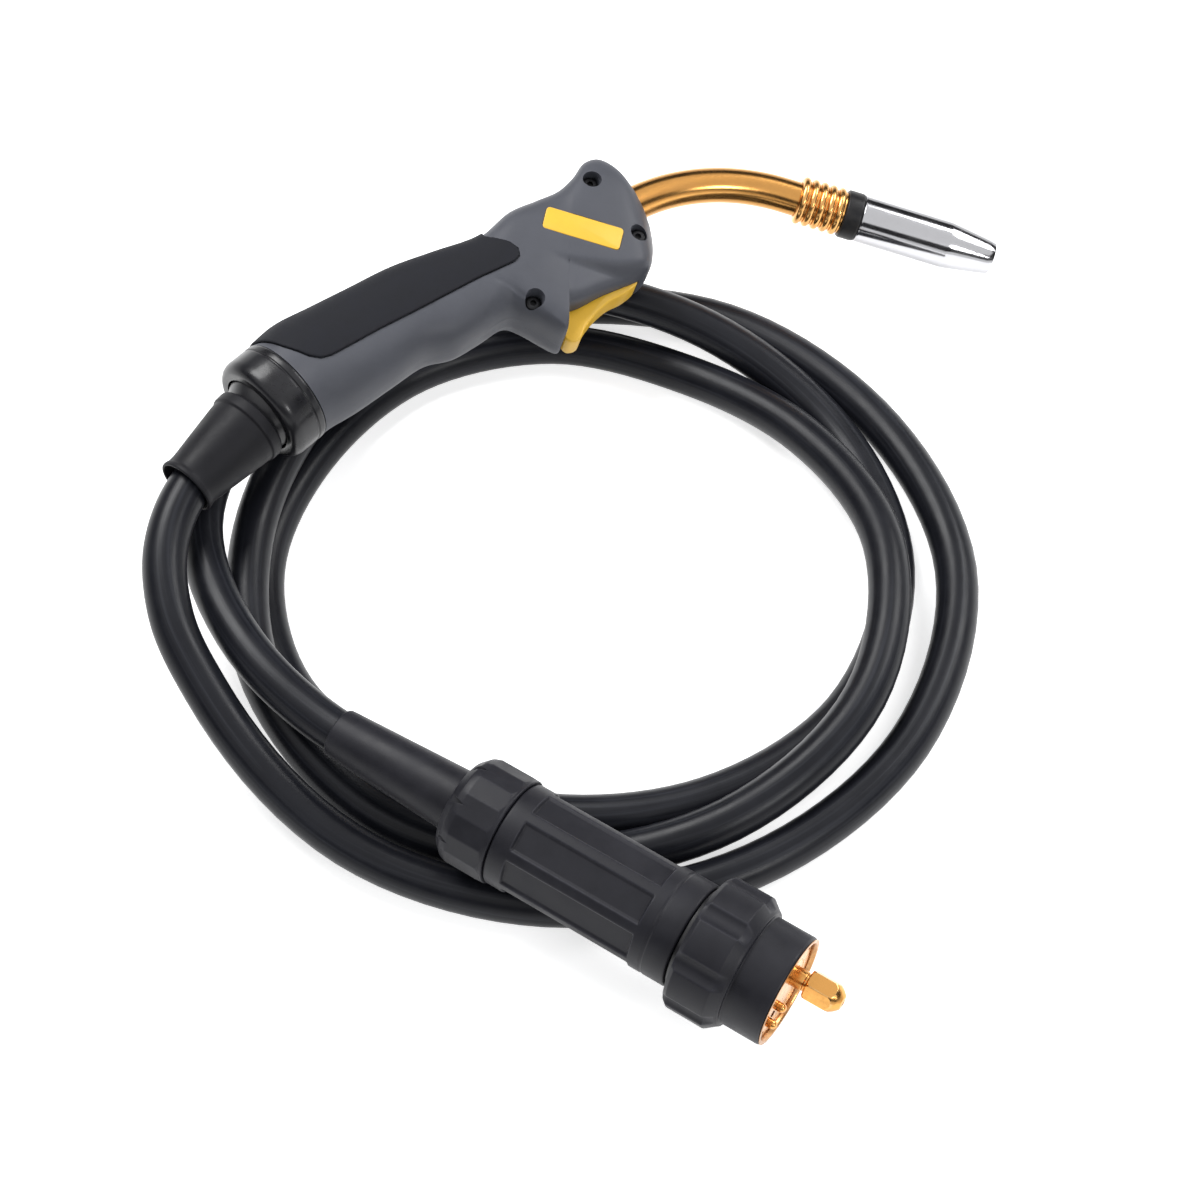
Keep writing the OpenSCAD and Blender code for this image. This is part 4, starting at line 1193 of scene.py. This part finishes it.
class BuildPad(Piece):
    """Soft grip pad along the handle's back"""

    bl_idname = "torch.build_pad"
    bl_label = "Grip pad"

    def build(self, sizes):
        pad = pad_solid("grip_pad_skin", sizes.pad_rise * 1000, -0.5, PAD)
        soft = pad.modifiers.new("soft", "REMESH")
        soft.mode = "VOXEL"
        soft.voxel_size = 0.00055
        ease_off = pad.modifiers.new("ease", "SMOOTH")
        ease_off.factor = 0.5
        ease_off.iterations = 4
        bake(pad, 60)
        fit(pad, "handle", "pad_rubber", "grip_pad")


class BuildLabels(Piece):
    """Blank yellow label plates on both faces"""

    bl_idname = "torch.build_labels"
    bl_label = "Label plates"

    def build(self, sizes):
        for side, name in ((1, "label_upper"), (-1, "label_lower")):
            plate = prism(name + "_skin", rounded_box_outline(LABEL_LEN, LABEL_H, 1.6), LABEL_LOW, LABEL_TOP,
                          on_face(LABEL_AT[side], side))
            soften(plate, 0.3, 3, 40)
            fit(plate, "handle", "signal_yellow", name)


class BuildScrews(Piece):
    """Socket screws deep in their wells"""

    bl_idname = "torch.build_screws"
    bl_label = "Handle screws"

    def build(self, sizes):
        seat = WELL_Z + 0.1
        line = [(0, -12), (1.6, -12, 0.3), (1.6, seat, 0.1), (3.2, seat, 0.2), (3.2, seat + 1.4, 0.5),
                (2.6, seat + 1.8, 0.3), (0, seat + 1.8)]
        screws = []
        for spot in SCREWS:
            place = TORCH @ shift(*spot, 0)
            screw = lathe("handle_screws_skin", line, place, 48)
            screws.append(carve(screw, bore(1.5, seat + 0.5, seat + 3, place, 6)))
        with editing(screws[0].data) as bm:
            for screw in screws[1:]:
                bm.from_mesh(screw.data)
                bpy.data.objects.remove(screw)
        shade(screws[0].data, 35)
        fit(screws[0], "handle", "screw_black", "handle_screws")


class BuildTrigger(Piece):
    """Yellow trigger, with its pin, spring and switch"""

    bl_idname = "torch.build_trigger"
    bl_label = "Trigger"

    def build(self, sizes):
        trigger = prism("trigger_skin", offset_outline(smooth_outline(TRIGGER, 5), -0.02), -5.5, 5.5, TORCH)
        soften(trigger, 0.9, 4, 50, 60)
        carve(trigger, bore(1.26, -10, 10, TORCH @ shift(*PIVOT, 0), 32), sharp=45)
        fit(trigger, "trigger", "signal_yellow", "trigger")
        dress("spring_steel", "trigger_pin", "trigger_spring")
        dress("switch_black", "switch_body")
        dress("plunger_red", "switch_plunger")
        dress("lead_red", "switch_leads")


class BuildNeck(Piece):
    """Brass swan neck and its ribbed head"""

    bl_idname = "torch.build_neck"
    bl_label = "Swan neck and head"

    def build(self, sizes):
        turns = [radians(90 + 45 * k / 32) for k in range(33)]
        arc = [Vector((-95 + NECK_R * cos(a), NECK_R * sin(a) - NECK_R, 0)) for a in turns]
        out = Vector((-1, -1, 0)).normalized()
        line = [Vector((-74.5, 0, 0)), Vector((-85, 0, 0))] + arc + [NECK_END + out * 16, NECK_END + out * 32]
        neck = tube("swan_neck_skin", line, 7.5, TORCH, 64)
        fit(neck, "handle", "drawn_brass", "swan_neck")

        head = lathe("neck_head_skin", [(7.5, -88.4, 0.2), (8.9, -88.4, 0.4), (8.9, -68.1, 0.3), (6.4, -68.1, 0.2),
                                        (6.4, -74, 0.1), (7.5, -74, 0.1)], HERE, 96)
        head.data.transform(Matrix.Scale(1000, 4))
        grow(head, rib_tree(), {"Count": sizes.rib_count, "Pitch": sizes.rib_pitch * 1000, "Radius": 8.7,
                                "Rib Size": 1.7, "Start": -86.6, "Finish": FINISHES["turned_brass"]})
        settle(head, WIRE)
        fit(head, "handle", "turned_brass", "neck_head")
        dress("turned_brass", "neck_nut", "cable_fitting")
        dress("spring_steel", "wire_liner")


class BuildNozzle(Piece):
    """Insulating ring, gas nozzle and contact tip"""

    bl_idname = "torch.build_nozzle"
    bl_label = "Nozzle and tip"

    def build(self, sizes):
        long = sizes.nozzle_length * 1000
        wide = sizes.nozzle_d * 500
        mouth = sizes.nozzle_mouth_d * 500
        turned("nozzle_insulator", "handle", "insulator_black", [
            (6.45, -68, 0.1), (9.9, -68, 0.5), (10.4, -67.4, 0.5), (10.4, -long - 0.7, 0.5), (10.0, -long - 0.1, 0.3),
            (8.7, -long - 0.1), (8.7, 4.0 - long), (7.9, 4.0 - long), (7.9, 5.0 - long), (8.7, 5.0 - long),
            (8.7, 9.5 - long, 0.2), (8.2, 10.0 - long, 0.2), (6.45, 10.0 - long, 0.1)], WIRE, name="insulator")
        taper = [(wide + (mouth - wide) * t ** 1.15, -21 + 21 * t - (0.35 if t == 1 else 0))
                 for t in (k / 8 for k in range(9))]
        turned("gas_nozzle", "gas_nozzle", "plated_nozzle", [
            (8.75, -long, 0.2), (wide - 0.3, -long, 0.3), (wide, 0.5 - long, 0.4), (wide, -30), (wide, -21.5)]
            + taper + [(mouth - 0.15, 0, 0.15), (mouth - 0.95, 0, 0.15), (mouth - 1.0, -0.6), (8.75, -24)],
            WIRE, 160, 50)
        turned("contact_tip", "handle", "tip_copper", [
            (0.6, -36.5, 0.1), (2.48, -36.5, 0.3), (2.48, -29.8, 0.1), (3, -29.8, 0.2), (3, -8.3, 0.5),
            (1.95, -3.2, 0.4), (1.8, -3, 0.1), (0.75, -3, 0.1), (0.6, -3.3)], WIRE, 64)
        dress("turned_brass", "gas_diffuser", "tip_holder")
        dress("spring_steel", "nozzle_clip")


class TORCH_PT_sidebar(bpy.types.Panel):
    """Sizes, colours and pieces of the welding torch"""

    bl_idname = "TORCH_PT_sidebar"
    bl_label = "Welding torch"
    bl_space_type = "VIEW_3D"
    bl_region_type = "UI"
    bl_category = "Torch"

    def draw(self, context):
        for group in (context.scene.torch_sizes, context.scene.torch_colours):
            box = self.layout.box()
            for key in group.bl_rna.properties.keys():
                if key not in ("rna_type", "name"):
                    box.prop(group, key)
        for c in PIECES:
            self.layout.operator(c.bl_idname)


PIECES = (BuildStage, BuildCable, BuildBoot, BuildCollar, BuildPlug, BuildPlugFace, BuildRingNut, BuildHandle, BuildPad,
          BuildLabels, BuildScrews, BuildTrigger, BuildNeck, BuildNozzle, DeclareCable)
CLASSES = (TorchSizes, TorchColours) + PIECES + (TORCH_PT_sidebar,)


def register():
    for c in CLASSES:
        bpy.utils.register_class(c)
    bpy.types.Scene.torch_sizes = bpy.props.PointerProperty(type=TorchSizes)
    bpy.types.Scene.torch_colours = bpy.props.PointerProperty(type=TorchColours)


def unregister():
    del bpy.types.Scene.torch_colours
    del bpy.types.Scene.torch_sizes
    for c in reversed(CLASSES):
        bpy.utils.unregister_class(c)


def main():
    register()
    make_finishes()
    for c in PIECES:
        group, name = c.bl_idname.split(".")
        getattr(getattr(bpy.ops, group), name)()


if __name__ == "__main__":
    main()
